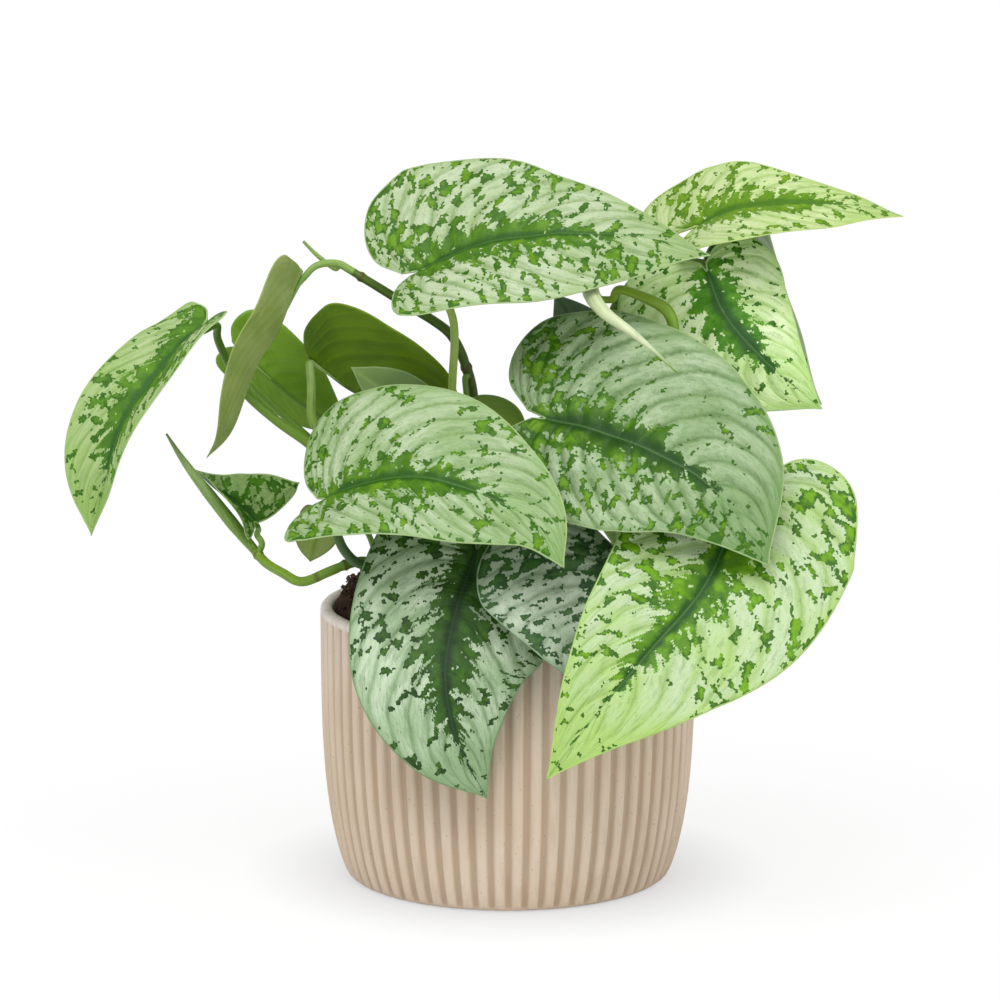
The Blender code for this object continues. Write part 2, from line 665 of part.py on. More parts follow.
def build_soil(collection, cutters, stems):
    """A turned mound that fills the pot, with a hole for each stem that stands in it."""
    profile = [(radius * MM, POT_HEIGHT + up * MM) for radius, up in SOIL_MOUND]
    profile += [(max(radius - SOIL_GAP, 0), z + TOUCH) for radius, z in pot_inside()]
    bm = bmesh.new()
    dots = [bm.verts.new((radius, 0, z)) for radius, z in profile]
    for a, b in zip(dots, dots[1:]):
        bm.edges.new((a, b))
    soil = add("potting_soil", finish_mesh("potting_soil", bm), "potting_mix", collection)
    turn = soil.modifiers.new("Turn", "SCREW")
    turn.steps = turn.render_steps = SOIL_STEPS
    turn.use_merge_vertices = True
    turn.merge_threshold = 0.0001
    bm = bmesh.new()
    for stem in stems.values():
        if stem.spec["start"][0] == "soil":
            add_pocket(bm, stem)
    pockets = bpy.data.objects.new("stem_pockets", finish_mesh("stem_pockets", bm))
    cutters.objects.link(pockets)
    pockets.hide_render = True
    pockets.display_type = "WIRE"
    cut = soil.modifiers.new("Pockets", "BOOLEAN")
    cut.operation = "DIFFERENCE"
    cut.solver = "EXACT"
    cut.object = pockets
    return soil


def add_pocket(bm, stem):
    """A round hole around the part of the stem that is below the top of the mound."""
    _, x, y = stem.spec["start"]
    radius = stem.radius[0] + POCKET_GAP
    made = bmesh.ops.create_cone(
        bm,
        cap_ends=True,
        segments=POCKET_SIDES,
        radius1=radius * MM,
        radius2=(radius + POCKET_FLARE) * MM,
        depth=POCKET_HEIGHT * MM,
    )
    middle = POCKET_FLOOR + POCKET_HEIGHT / 2
    bmesh.ops.translate(bm, verts=made["verts"], vec=(x * MM, y * MM, middle * MM))


def build_stem(name, stem, collection):
    curve = bpy.data.curves.new(name, "CURVE")
    curve.dimensions = "3D"
    curve.bevel_depth = stem.radius.max() * MM
    curve.bevel_resolution = STEM_BEVEL_RESOLUTION
    curve.use_fill_caps = True
    spline = curve.splines.new("POLY")
    spline.points.add(len(stem.line) - 1)
    for point, spot, radius in zip(spline.points, stem.line * MM, stem.radius):
        point.co = (*spot, 1)
        point.radius = radius / stem.radius.max()
    return add(name, curve, stem.spec["paint"], collection)


def build_leaf(name, leaf, collection):
    blade = add(name, leaf_mesh(name, leaf), leaf.spec["paint"], collection)
    solid = blade.modifiers.new("Thickness", "SOLIDIFY")
    solid.thickness = LEAF_THICKNESS * MM
    solid.offset = 0
    return blade


def build():
    for old in list(bpy.data.objects):
        bpy.data.objects.remove(old, do_unlink=True)
    collection = bpy.data.collections.new(COLLECTION)
    cutters = bpy.data.collections.new("cutters")
    for made in (collection, cutters):
        bpy.context.scene.collection.children.link(made)
    leaves = {name: Leaf(spec) for name, spec in LEAVES.items()}
    stems = {}
    for name, spec in STEMS.items():
        stems[name] = Stem(spec, stems, leaves)
    build_pot(collection)
    build_soil(collection, cutters, stems)
    for name, leaf in leaves.items():
        build_leaf(name, leaf, collection)
    for name, stem in stems.items():
        build_stem(name, stem, collection)


build()
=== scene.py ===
"""The look of a potted satin pothos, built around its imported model.

Every leaf and stem repeats the course that its CAD solid has, with a finer surface, and
stands for that solid. Tables are in millimetres and degrees; the scene is in metres.
"""

import json
import math
from functools import partialmethod
from itertools import combinations
from types import SimpleNamespace

import bpy
import numpy as np
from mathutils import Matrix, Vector

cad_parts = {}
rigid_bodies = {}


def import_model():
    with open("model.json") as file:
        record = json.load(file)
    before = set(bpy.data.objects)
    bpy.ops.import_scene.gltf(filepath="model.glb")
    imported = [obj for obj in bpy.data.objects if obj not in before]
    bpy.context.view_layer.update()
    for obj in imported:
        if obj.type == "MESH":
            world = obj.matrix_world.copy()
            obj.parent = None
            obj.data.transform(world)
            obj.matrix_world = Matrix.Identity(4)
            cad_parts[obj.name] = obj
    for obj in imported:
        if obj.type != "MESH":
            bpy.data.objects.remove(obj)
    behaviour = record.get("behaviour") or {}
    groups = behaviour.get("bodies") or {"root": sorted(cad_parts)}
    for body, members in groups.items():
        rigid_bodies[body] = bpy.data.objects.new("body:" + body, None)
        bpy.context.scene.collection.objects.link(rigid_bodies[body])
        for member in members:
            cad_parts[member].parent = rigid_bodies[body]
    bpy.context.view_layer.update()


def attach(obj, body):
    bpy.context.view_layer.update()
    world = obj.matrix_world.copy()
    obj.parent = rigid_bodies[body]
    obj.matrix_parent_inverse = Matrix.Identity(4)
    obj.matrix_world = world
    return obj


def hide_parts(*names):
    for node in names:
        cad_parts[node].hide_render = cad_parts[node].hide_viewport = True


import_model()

MM = 0.001
TURN = 2 * math.pi

# A leaf's half outline and the stems' gaps, as the CAD solids have them
LEAF_THICKNESS = 0.9
TOUCH = 0.35
HALF_OUTLINE = (
    (-0.35, 0.03), (-0.88, 0.24), (-1.00, 0.52), (-0.72, 0.80), (0.01, 0.97), (0.15, 1.00),
    (0.36, 0.93), (0.55, 0.75), (0.73, 0.49), (0.87, 0.23), (0.95, 0.08), (1.00, 0.00),
)
LEAF_STEPS = 12
MARGIN_STEPS = 10
STEM_STEPS = 8
STEM_FOOT = 106.4
FOOT_LENGTH = 8
BRANCH_GAP = 0.75
BRANCH_RUN = 2.5
BUTT_GAP = 0.5
RUN_IN = 0.2

# What the leaves look like: colours as on screen, then the sizes of the pattern and of the
# relief. The silver has a paler, a darker and a greener tone, and the green has a plain, a
# dark, a bright and an edge tone. Spot, strip and margin sizes are in mm.
LOOK = dict(
    silver="C4D2B0 ACC094 8EAE64", green="447412 2A580E 689618 386810", rib="5C883E", rim="B0CA8C",
    under="80A55A 70964A 8CAF5F", under_rib="A0BE6E", under_rim="BED796", shift=0.3, rough=0.5,
    cell=0.72, strip=8.5, base=9, reach=1, fingers=42, spot_long=6.4, spot_wide=4, spots=0.66,
    crowd=0.28, margin=0.12, margin_width=8, lean=(0, 0), lively=0.8, clear_from=0.45,
    # The greener silver and the darker green in the furrows over the side veins are partly painted
    # shade
    clear_to=0.95, tip_clear=0.3, tip_green=0.5, dark_width=4, valley=0.5, shadow=0.13, ghost=0.24,
    veins=11, sweep=0.42, quilt=1.7, wave=0.6, ruffle=0.6, thick=0.6, groove=0.35, keel=0.7,
)

# Each leaf: points of its midrib from the petiole to the tip; the way its upper face looks,
# at the base and at the tip; then the left and the right half, each with its width, back
# lobe, belly (above 1 the widest place is nearer the petiole), fold up from the midrib at
# the base and at the tip, and further turn up towards the margin. Last, where its look
# differs; a leaf with a colour "over" is plain, and the others are spotted.
LEAVES = {
    "top": (
        "-36 -12 244.5, -9 -20 256.5, 14 -26 260.5, 36 -30 261.5, 60 -34 259, 78 -36 253.5",
        "-0.2 -0.6 0.77, 0.1 -0.55 0.83", "45 18 1.5 23 -2 -8, 38 7 0.85 24 -30 -10",
        dict(spots=0.78, veins=12, strip=9, fingers=50, tip_clear=0.25, quilt=2),
    ),
    "upper_right": (
        "75 14 259.5, 90 6 267, 112 0 270, 135 -2 269.5, 155 -4 265",
        "-0.2 -0.4 0.9, 0.1 -0.35 0.94", "28.5 29 1.4 24 -7 -4, 28 4 0.85 8 -4 -4",
        dict(spots=0.62, margin=0.2, silver="D0E0A8 BCD08C A4C666",
        green="5C8A14 46740E 78A218 507E16", rim="C3D782", quilt=0.9, rib="5A8C3C"),
    ),
    "right_hanging": (
        "78 -5 244, 85 -13 227.5, 100 -24 211, 122 -32 193", "-0.3 -0.8 0.45, -0.3 -0.85 0.3",
        "29 10 1.1 -20 -20 -12, 40 11 1.1 0 5 0",
        dict(spots=0.36, silver="E0F0C2 CEE4A6 A0CC60", green="3E7C16 1C500E 629E1A 386810",
        strip=9.5, fingers=38, veins=9, quilt=1, dark_width=6),
    ),
    "right_behind": (
        "78 18 242.5, 90 13 229.5, 106 3 212.5, 123 -18 192.5", "-0.2 -0.8 0.45, -0.2 -0.85 0.3",
        "33 6 2.4 -10 -34 -8, 24 8 1 -5 -5 0",
        dict(silver="B2C0A6 96A88C 8CA47C", green="3E6030 2C4C2C 55783C 386810"),
    ),
    "centre_right": (
        "14 -44 191.5, 34 -55 188.5, 61 -69 179.5, 80 -80 167.5, 98 -90 142.5",
        "-0.15 -0.75 0.6, 0.05 -0.8 0.5", "52 24 0.85 6 6 -10, 42 14 0.85 10 6 -12",
        dict(silver="AEC29C 8AA676 668C46", green="386410 1E460E 689618 386810", dark_width=8,
        spots=0.95, lean=(0.3, -0.12), strip=9.5, base=14, reach=0.97, shadow=0.18, veins=12,
        quilt=2.2, fingers=46, tip_clear=0.6, clear_from=0.2, clear_to=0.6, margin=0.08),
    ),
    "lower_right": (
        "88 -66 159.5, 74 -85 133.5, 52 -100 110.5, 32 -109 88.5, 14 -114 65.5",
        "0.1 -0.75 0.6, 0 -0.85 0.4", "49 31 1.25 8 4 -12, 39 18 1 8 6 -10",
        dict(silver="C4D6B0 ACC892 A4CA5E", green="4A7A12 1E4E0E 70A612 386810", rim="B4D678",
        tip_green=0.7, strip=9.5, fingers=58, spots=0.7, margin=0.45, tip_clear=0.9, spot_long=7.4,
        spot_wide=4.6, margin_width=15, veins=10, quilt=1.4, lively=0.9, lean=(0.05, -0.05)),
    ),
    "lower_left": (
        "-12 -60 143.5, -21 -75 118, -24 -85 97, -19 -89 73.5, -8 -88 51.5",
        "-0.1 -0.75 0.6, 0 -0.95 0.2", "40 10 1 -4 -2 -14, 40 8 0.78 6 6 -10",
        dict(silver="C4D6B8 9EB690 749862", green="30541C 1E3A16 426C1E 26441A", rim="789C68",
        strip=10.5, base=22, fingers=54, reach=1.1, spots=0.7, tip_clear=0.5, veins=10, quilt=1.2,
        rib="325638"),
    ),
    "lower_middle": (
        "42 -68 139.5, 41 -84 117, 37 -94 99, 32 -98 88", "-0.1 -0.8 0.5, 0 -0.95 0.2",
        "22 10 1 -10 -10 -8, 54 18 0.8 14 10 -6",
        dict(silver="BAC8B0 9EB096 829A76", green="30542A 22401E 3E662E 2A4A26", rim="7DA078",
        strip=11, fingers=54, spots=0.8, margin=0.15, quilt=1),
    ),
    "centre_left": (
        "-71 -48 160.5, -55 -58 168.5, -33 -68 172.5, -9 -79 167.5, 10 -88 158.5, 21 -95 142.5",
        "-0.2 -0.6 0.75, 0.3 -0.7 0.5", "42 11 0.95 16 14 -10, 32 10 0.7 24 -6 -10",
        dict(silver="B8CAA4 9AB382 80A55A", strip=8, fingers=44, spots=0.58, veins=12, quilt=2.1,
        margin=0.25, lean=(0.15, -0.05)),
    ),
    "far_left": (
        "-120 -8 223.5, -133 -17 210.5, -151 -26 184.5, -163 -30 142.5",
        "-0.85 -0.25 0.45, -0.7 -0.65 0.2", "22 6 0.8 -4 24 4, 23 8 0.45 24 42 4",
        dict(silver="B0C68C 98B272 8CB454", green="46741A 30621E 5C8E1C 386810", strip=9, base=26,
        fingers=34, spots=0.7, margin=0, reach=1.05, quilt=0.75, under="749C42 648E36 92B85E"),
    ),
    "edge_on": (
        "-82 3 242.5, -87 0 231, -92 -3 220, -99 -6 207, -109 -10 182, -119 -10 170",
        "-0.9 0.1 0.4, -0.9 0.1 0.4", "26 2 0.6 14 18 10, 16 2 0.6 12 30 10",
        dict(quilt=0.25, veins=9, sweep=0.6, over="9EB062 8A9C4E 749238",
        # Its underside tones are paler, partly painted light for the light that shines through the
        # thin blade
        under="A2B268 8A9E50 709236", under_rib="96AC69", under_rim="AABC78"),
    ),
    "back_left": (
        "-110 36 208, -95 38 194, -81 41 182, -64 44 170", "-0.1 0.9 0.45, 0.1 0.9 0.3",
        "13 3 0.7 6 6 0, 20 8 0.8 12 12 0",
        # Its underside tones are paler, partly painted light for the light that shines through the
        # thin blade
        dict(quilt=0.75, over="62963C 62963C 62963C", under="7EA630 6E9A24 7EA24E",
        under_rib="547D32", under_rim="82AA5A", shift=0),
    ),
    "green_underside": (
        "-80 16 207, -63 17 194, -43 18 181, -21 22 167", "0.2 0.85 0.5, 0.3 0.85 0.3",
        "14 2 1 75 75 0, 41 9 0.52 -4 -4 -6",
        dict(quilt=0.9, over="62963C 62963C 62963C", sweep=0.6, veins=8,
        under="628606 507406 789808", under_rib="385A12", under_rim="8CA53C", shift=0.6),
    ),
    "small_grey": (
        "-37 -10 188.5, -50 -12 198.5, -62 -10 206.5", "-0.3 -0.8 0.5, -0.3 -0.8 0.5",
        "10 4 1 0 0 0, 12 4 1 0 0 0",
        dict(over="708A54 607C42 68843E", under="6A8448 5C7638 648038", under_rib="78924E",
        under_rim="8CA56E", quilt=0.6),
    ),
    "small_spotted": (
        "-101 1.5 142, -105 0 147, -111 -2 152.5, -117 -2 157, -125 0 164",
        "0.1 -0.95 0.2, 0.1 -0.95 0.2", "13 1 1 50 105 10, 24 3 2.4 0 0 0",
        dict(silver="96B670 82A65C 8EAE64", strip=5, spots=0.85,
        green="386C08 28580A 508610 386810", quilt=0.45, under="729268 628258 7A9A64",
        spot_long=4.4, spot_wide=3),
    ),
    "small_pale": (
        "-75 25 141.5, -78 24 131.5, -80 20 122.5", "0.1 0.95 0.2, 0.1 0.95 0",
        "9 2 0.6 0 0 0, 9 2 0.6 0 0 0",
        dict(over="96A55A 96A55A 96A55A", quilt=0.3, under="96A85C 879B50 789137",
        under_rib="6E8C28", under_rim="73874B"),
    ),
    "olive": (
        "-15 -18 186.5, -4 -20 185.5, 6 -26 173.5", "0 -0.7 0.7, 0.1 -0.8 0.5",
        "13 3 1 0 0 -8, 12 3 1 0 0 -8",
        dict(over="78963C 698830 829E46", quilt=0.45, under_rim="96AF64"),
    ),
    "dark": (
        "36 8 207.5, 28 4 218.5, 18 0 234.5", "0.1 -0.9 0.3, 0.1 -0.9 0.3",
        "13 4 1 0 0 0, 13 4 1 0 0 0",
        dict(over="697866 425C36 345026", quilt=0.45, under_rib="3C5A32", under_rim="788C78"),
    ),
    "rear_right": (
        "56 52 167.5, 57 68 159.5, 54 82 137.5, 51 90 105.5", "0.1 0.6 0.8, 0.1 0.9 0.3",
        "33 10 1 8 4 -8, 27 10 1 8 4 -8",
        dict(veins=10),
    ),
    "rear_middle": (
        "8 58 147.5, 7 80 139.5, 5 95 115.5, 2 99 87.5", "0 0.6 0.8, 0 0.95 0.2",
        "25 10 1 8 4 -8, 25 10 1 8 4 -8",
        dict(veins=10, spots=0.6),
    ),
    "rear_left": (
        "-24 46 161.5, -30 62 161.5, -35 78 145.5, -37 86 121.5", "-0.1 0.6 0.8, -0.1 0.95 0.2",
        "18 8 1 8 4 -8, 18 8 1 8 4 -8",
        dict(veins=9, spots=0.6),
    ),
    "rear_upper": (
        "28 36 185.5, 40 50 191.5, 52 62 181.5, 58 70 159.5", "0.1 0.6 0.8, 0.2 0.9 0.3",
        "22 10 1 8 4 -8, 22 10 1 8 4 -8",
        dict(veins=9, spots=0.5),
    ),
}

# Each stem, a line each: where it starts (the soil and the place of its hole, or another stem
# and what share of its length along it), the points of its way on, and the radii from its
# start to its end. A petiole carries the leaf of its name.
STEMS = """
main_vine | soil -14 4 | -14 4 131.5, -13 4 161.5, -14 4 191.5, -17 3 205.5, -22 3 216.5, \
-29 4 222.5, -41 6 229.5, -51 8 235.5, -61 9 241.5 | 2.8 2.6 2 1.7
left_vine | soil -40 8 | -42 8 129.5, -50 8 148.5, -65 8 161.5, -79 8 172.5 | 2.6 2.3
rear_vine | soil 12 6 | 13 6 131.5, 17 4 156.5, 26 2 186.5, 36 1 213.5, 43 3 229.5 | 2.6 2
low_vine | soil -48 -22 | -50 -23 125.5, -55 -26 131.5, -62 -29 131.5, -70 -30 128.5, \
-81 -26 123.5, -89 -18 125.5, -96 -8 127.5, -101 -2 131.5 | 1.9 1.9
shoot_stem | rear_vine 0.92 | 37 -8 229.5, 33 -17 238.5 | 1.7 1.6
petiole_top | main_vine 0.42 | -19 -7 173.5, -22 -10 187.5, -22 -10 199.5, -21 -10 217, \
-22 -10 227, -26 -10 234.5 | 1.7 1.6
petiole_upper_right | rear_vine 0.95 | 50 14 231.5, 62 18 247.5 | 1.6 1.4
petiole_right_hanging | rear_vine 1 | 49 8 235.5, 60 10 241.5, 70 8 245.5 | 1.7 1.5
petiole_right_behind | rear_vine 0.62 | 42 16 197.5, 58 26 219.5, 70 28 233.5 | 1.6 1.4
petiole_centre_right | soil -2 -20 | -2 -22 131.5, -2 -28 156.5, 2 -38 181.5 | 1.9 1.8
petiole_lower_right | soil 36 -20 | 38 -21 128.5, 58 -34 150.5, 78 -50 164.5 | 2 1.8
petiole_lower_left | soil -16 -34 | -16 -35 127.5, -13 -44 145.5 | 1.9 1.7
petiole_lower_middle | soil 20 -34 | 21 -35 127.5, 32 -50 145.5 | 1.8 1.6
petiole_centre_left | soil -34 -30 | -36 -32 127.5, -46 -38 134.5, -57 -42 133.5, -64 -42 139.5, \
-68 -42 149.5 | 2.1 1.8
petiole_far_left | left_vine 1 | -93 9 182.5, -105 9 193.5, -111 6 205.5, -115 0 216.5 | 2 1.5
petiole_back_left | left_vine 0.8 | -80 19 173.5, -93 22 185, -105 24 197, -109 29 207 | 1.7 1.4
petiole_green_underside | left_vine 0.95 | -78 11 181, -78.5 12 196.5 | 1.9 1.7
petiole_edge_on | main_vine 1 | -67 9 245, -72 7 245.5 | 1.6 1.3
petiole_small_grey | main_vine 0.52 | -24 -2 183.5 | 1.2 1
petiole_small_spotted | low_vine 0.97 | -100 -3 138 | 1.3 1.1
petiole_small_pale | soil -52 24 | -56 26 131.5, -66 28 145.5 | 1.3 1.1
petiole_olive | main_vine 0.6 | -15 -8 184.5 | 1.2 1
petiole_dark | rear_vine 0.72 | 34 10 199.5 | 1.2 1
petiole_rear_right | soil 30 26 | 31 27 128.5, 46 42 159.5 | 1.8 1.6
petiole_rear_middle | soil 4 36 | 4 37 126.5, 7 46 143.5 | 1.8 1.6
petiole_rear_left | soil -20 30 | -20 32 131.5, -21 38 153.5 | 1.7 1.5
petiole_rear_upper | rear_vine 0.45 | 20 14 165.5, 24 26 179.5 | 1.7 1.5
new_shoot | low_vine 1 | -107 -1 138.5, -118 -4 153.5, -128 -6 167.5, \
-135 -8 179.5 | 1.8 2.6 2.4 1.6 0.4
rolled_new_leaf | shoot_stem 1 | 31 -30 242.5, 33 -44 237.5, 38 -52 232.5, 46 -58 227.5, \
55 -62 220.5, 64 -67 212.5 | 1.3 3.2 3.2 2.4 1.7 0.8 0.3
curved_sheath | shoot_stem 0.7 | 43 -20 238.5, 53 -23 235.5, 61 -25 231.5, 64 -26 225.5, \
64 -27 215.5 | 1.4 1.8 2.4 2
upper_sheath | petiole_edge_on 0.25 | -76 10 248.5, -81 8 254 | 0.9 1 0.6
old_stub | soil -52 -10 | -53 -12 125.5, -50 -14 133.5, -44 -14 139.5 | 3.2 3 2.2
papery_sheath | soil -44 -36 | -45 -38 123.5, -47 -40 129.5 | 1.8 2.4 0.8
"""

# Stems' looks: colours at the start, further on and at the end, rings at shares of the
# length, and brown bands as share and width
VINE = "526A1C 48621A 5A7620"
STALK = ("6E9638 7EA442 8CAC50",)
STALKS = {
    "main_vine": (VINE, (0.22, 0.42, 0.62, 0.98)),
    "left_vine": ("526A1C 769E30 769E30", (0.5, 0.8, 0.97)),
    "rear_vine": (VINE, (0.4, 0.62, 0.9)),
    "low_vine": ("689428 789C24 7CA028", (0.42, 0.97), ((0.55, 0.02),)),
    "petiole_top": ("96B64E A6C05C AAC462",),
    "petiole_centre_left": ("3A5432 588042 608846",),
    "petiole_far_left": ("769E30 608A32 507A2C",),
    "petiole_green_underside": ("8CAF46 A0BE6E 689428",),
    "petiole_back_left": ("769E30 689428 8CAF46",),
    "petiole_edge_on": ("8CAF55 6E964B 96B269",),
    "curved_sheath": ("8CAA32 709626 5A801E",),
    "new_shoot": ("789E3C 96B470 78965A",),
    "rolled_new_leaf": ("BECD96 D6E0B8 6C942C",),
    "upper_sheath": ("A0BE64 96B45F 789646",),
}
BARK = {"old_stub": "463424 261C14", "papery_sheath": "968A7C 605246"}
ROLLED = ("new_shoot", "rolled_new_leaf", "upper_sheath")  # young leaves, still rolled up
SLOTS = dict.fromkeys(("main_vine", "left_vine", "rear_vine"), "vine")
SLOTS |= {**dict.fromkeys(ROLLED, "new_growth"), **dict.fromkeys(BARK, "dry_bark")}


def numbers(text):
    """The numbers of each row of the text, with a comma between rows."""
    return [tuple(map(float, row.split())) for row in text.split(",")]


def unit(vector):
    vector = np.asarray(vector, float)
    return vector / np.linalg.norm(vector, axis=-1, keepdims=True)


def catmull(points, steps):
    """A smooth line through the points, with so many steps between each two."""
    given = np.array(points, float)
    ends = np.vstack([2 * given[0] - given[1], given, 2 * given[-1] - given[-2]])
    line = []
    for a, b, c, d in zip(ends, ends[1:], ends[2:], ends[3:]):
        for t in np.arange(steps) / steps:
            line.append(
                b + (c - a) * t / 2 + (2 * a - 5 * b + 4 * c - d) * t**2 / 2
                + (3 * b - a - 3 * c + d) * t**3 / 2
            )
    return np.vstack([line, given[-1:]])


def lengths(line):
    """How far each point of the line lies from its start, along it."""
    return np.concatenate([[0], np.cumsum(np.linalg.norm(np.diff(line, axis=0), axis=1))])


def sample(line, given, where):
    """Points of the line at these places, where it has its own points at the given ones."""
    return np.stack([np.interp(where, given, axis) for axis in line.T], -1)


def along(line, where):
    """Points of the line at the given lengths from its start; before it, straight back."""
    where = np.asarray(where, float)
    back = np.maximum(-where, 0)[..., None]
    return sample(line, lengths(line), where) + back * unit(line[0] - line[2])


class Leaf:
    """A blade as a bent flat outline: place(x, y) is where its flat point (x, y) lies."""

    def __init__(self, midrib, face, halves):
        self.line = catmull(numbers(midrib), LEAF_STEPS)
        self.length = lengths(self.line)[-1]
        self.face = np.array(numbers(face))
        self.width, self.lobe, self.belly, *bend = np.array(numbers(halves)).T
        self.base_fold, self.tip_fold, self.turn = np.radians(bend)

    def frame(self, x):
        """Midrib point, left side and upward normal at x millimetres from the base."""
        tangent = unit(along(self.line, x + 1) - along(self.line, x - 1))
        share = np.clip(x / self.length, 0, 1)[..., None]
        base, tip = self.face
        up = base * (1 - share) + tip * share
        up = unit(up - tangent * (up * tangent).sum(-1, keepdims=True))
        return along(self.line, x), np.cross(up, tangent), up

    def place(self, x, y):
        """y is millimetres from the midrib, positive to the left."""
        half = np.where(y >= 0, 0, 1)
        share = np.clip(x / self.length, 0, 1)
        lift = self.base_fold[half] * (1 - share) + self.tip_fold[half] * share
        lift = lift + self.turn[half] * np.abs(y) / self.width[half] / 2
        point, side, up = self.frame(x)
        aside, rise = y * np.cos(lift), np.abs(y) * np.sin(lift)
        return point + side * aside[..., None] + up * rise[..., None]

    def margin(self, side, count):
        """Flat margin points of one half (0 left, 1 right), from its back lobe to the tip."""
        shape = np.array(HALF_OUTLINE)
        ahead = np.maximum(shape[:, 0], 0) ** self.belly[side] * self.length
        x = np.where(shape[:, 0] < 0, shape[:, 0] * self.lobe[side], ahead)
        line = catmull(np.stack([x, shape[:, 1] * self.width[side]], -1), MARGIN_STEPS)
        return along(line, np.linspace(0, lengths(line)[-1], count + 1))

    def grid(self, rays, out):
        """Flat points of both halves: a row for each ray, at these shares of the way out."""
        share = np.linspace(0, 1, rays + 1)
        rib = self.length * (0.25 * share + 0.75 * share**1.6)  # closer rows at the base
        rib = np.stack([rib, np.zeros_like(rib)], -1)[:, None]
        out = out[None, :, None]
        halves = [rib * (1 - out) + self.margin(side, rays)[:, None] * out for side in (0, 1)]
        return halves[0], halves[1] * (1, -1)


class Stem:
    """A smooth line with a radius at each point, in millimetres."""

    def __init__(self, start, way, radii, stems, leaf):
        self.parent, *spot = start.split()
        self.spot = [float(part) for part in spot]
        self.leaf = leaf
        way, [radii] = numbers(way), numbers(radii)
        if self.parent == "soil":
            first = [(*self.spot, STEM_FOOT), (*self.spot, STEM_FOOT + FOOT_LENGTH)]
        else:
            first = stems[self.parent].branch(self.spot[0], way[0], radii[0])
        last = self.under(radii[-1], way[-1]) if leaf else []
        self.line = catmull(first + way + last, STEM_STEPS)
        length = lengths(self.line)
        self.radius = np.interp(length / length[-1], np.linspace(0, 1, len(radii)), radii)

    def branch(self, share, target, own_radius):
        """Two points of a side stem that starts on this one and heads for the target."""
        length = lengths(self.line)
        where = share * length[-1]
        middle = along(self.line, where)
        tangent = unit(middle - along(self.line, where - 2))
        if share == 1:
            return [tuple(middle + tangent * reach) for reach in (BUTT_GAP, BUTT_GAP + 3.5)]
        away = np.array(target, float) - middle
        away = unit(away - tangent * (away @ tangent))
        radius = np.interp(where, length, self.radius)
        run = BRANCH_RUN * own_radius
        return [tuple(middle + away * (radius + BRANCH_GAP + reach)) for reach in (0, run)]

    def under(self, radius, before):
        """Its end under the blade's base, along the midrib if it comes that way."""
        point, _, up = self.leaf.frame(np.array(0.0))
        ahead = unit(self.leaf.line[1] - self.leaf.line[0])
        course = unit(point - np.array(before))
        beside = course @ ahead > RUN_IN
        rise = 0 if beside else course @ up
        drop = LEAF_THICKNESS / 2 + TOUCH + radius * math.sqrt(1 - rise**2)
        end = tuple(point + ahead * 1.5 - up * drop)
        return [tuple(point - ahead * 4 - up * (drop + 2)), end] if beside else [end]


def smooth(x, low, high):
    """0 below low, 1 above high, and a smooth rise between them."""
    share = np.clip((x - low) / (high - low), 0, 1)
    return share * share * (3 - 2 * share)


def swell(x, y, seed, scale, count=7):
    """Gentle random waves over a flat place, between about -1 and 1."""
    random = np.random.default_rng(seed)
    total = np.zeros(np.shape(x))
    for _ in range(count):
        turn, phase = random.uniform(0, TURN, 2)
        wave = scale * random.uniform(0.7, 1.8)
        total += np.sin((x * math.cos(turn) + y * math.sin(turn)) * 2 * math.pi / wave + phase)
    return total / count * 1.6


def edge_distance(flat, loop):
    """How far each flat point lies from the closed outline."""
    run = np.roll(loop, -1, axis=0) - loop
    size = np.maximum((run**2).sum(-1), 1e-9)
    nearest = np.full(len(flat), 1e9)
    for a, r, s in zip(loop, run, size):
        share = np.clip(((flat - a) @ r) / s, 0, 1)
        gap = np.linalg.norm(flat - a - share[:, None] * r, axis=1)
        nearest = np.minimum(nearest, gap)
    return nearest


def mesh_object(name, points, faces, attributes=(), slots=None):
    """A smooth mesh with named values on its points, and the material slot of each face."""
    mesh = bpy.data.meshes.new(name)
    mesh.from_pydata((np.asarray(points) * MM).tolist(), [], faces)
    mesh.validate()
    if slots is not None:
        mesh.polygons.foreach_set("material_index", slots)
    for label, values in attributes:
        made = mesh.attributes.new(label, "FLOAT_VECTOR", "POINT")
        made.data.foreach_set("vector", np.asarray(values, np.float32).ravel())
    mesh.shade_smooth()
    mesh.update()
    made = bpy.data.objects.new(name, mesh)
    bpy.context.scene.collection.objects.link(made)
    return made


def set_piece(made, paints, nodes):
    for paint in paints:
        made.data.materials.append(paint)
    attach(made, "root")
    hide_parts(*nodes)


OTHER_SIDE = 0.4  # of the step between side veins: how far the right half's are off the left's
VEIN_STRETCH = 1.1  # of the blade's length: what the vein coordinate measures
LARGE_FROM = 20  # half width above which a leaf is large
LARGE = (140, 26)  # rows along a large blade and columns across each half
SMALL = (60, 11)


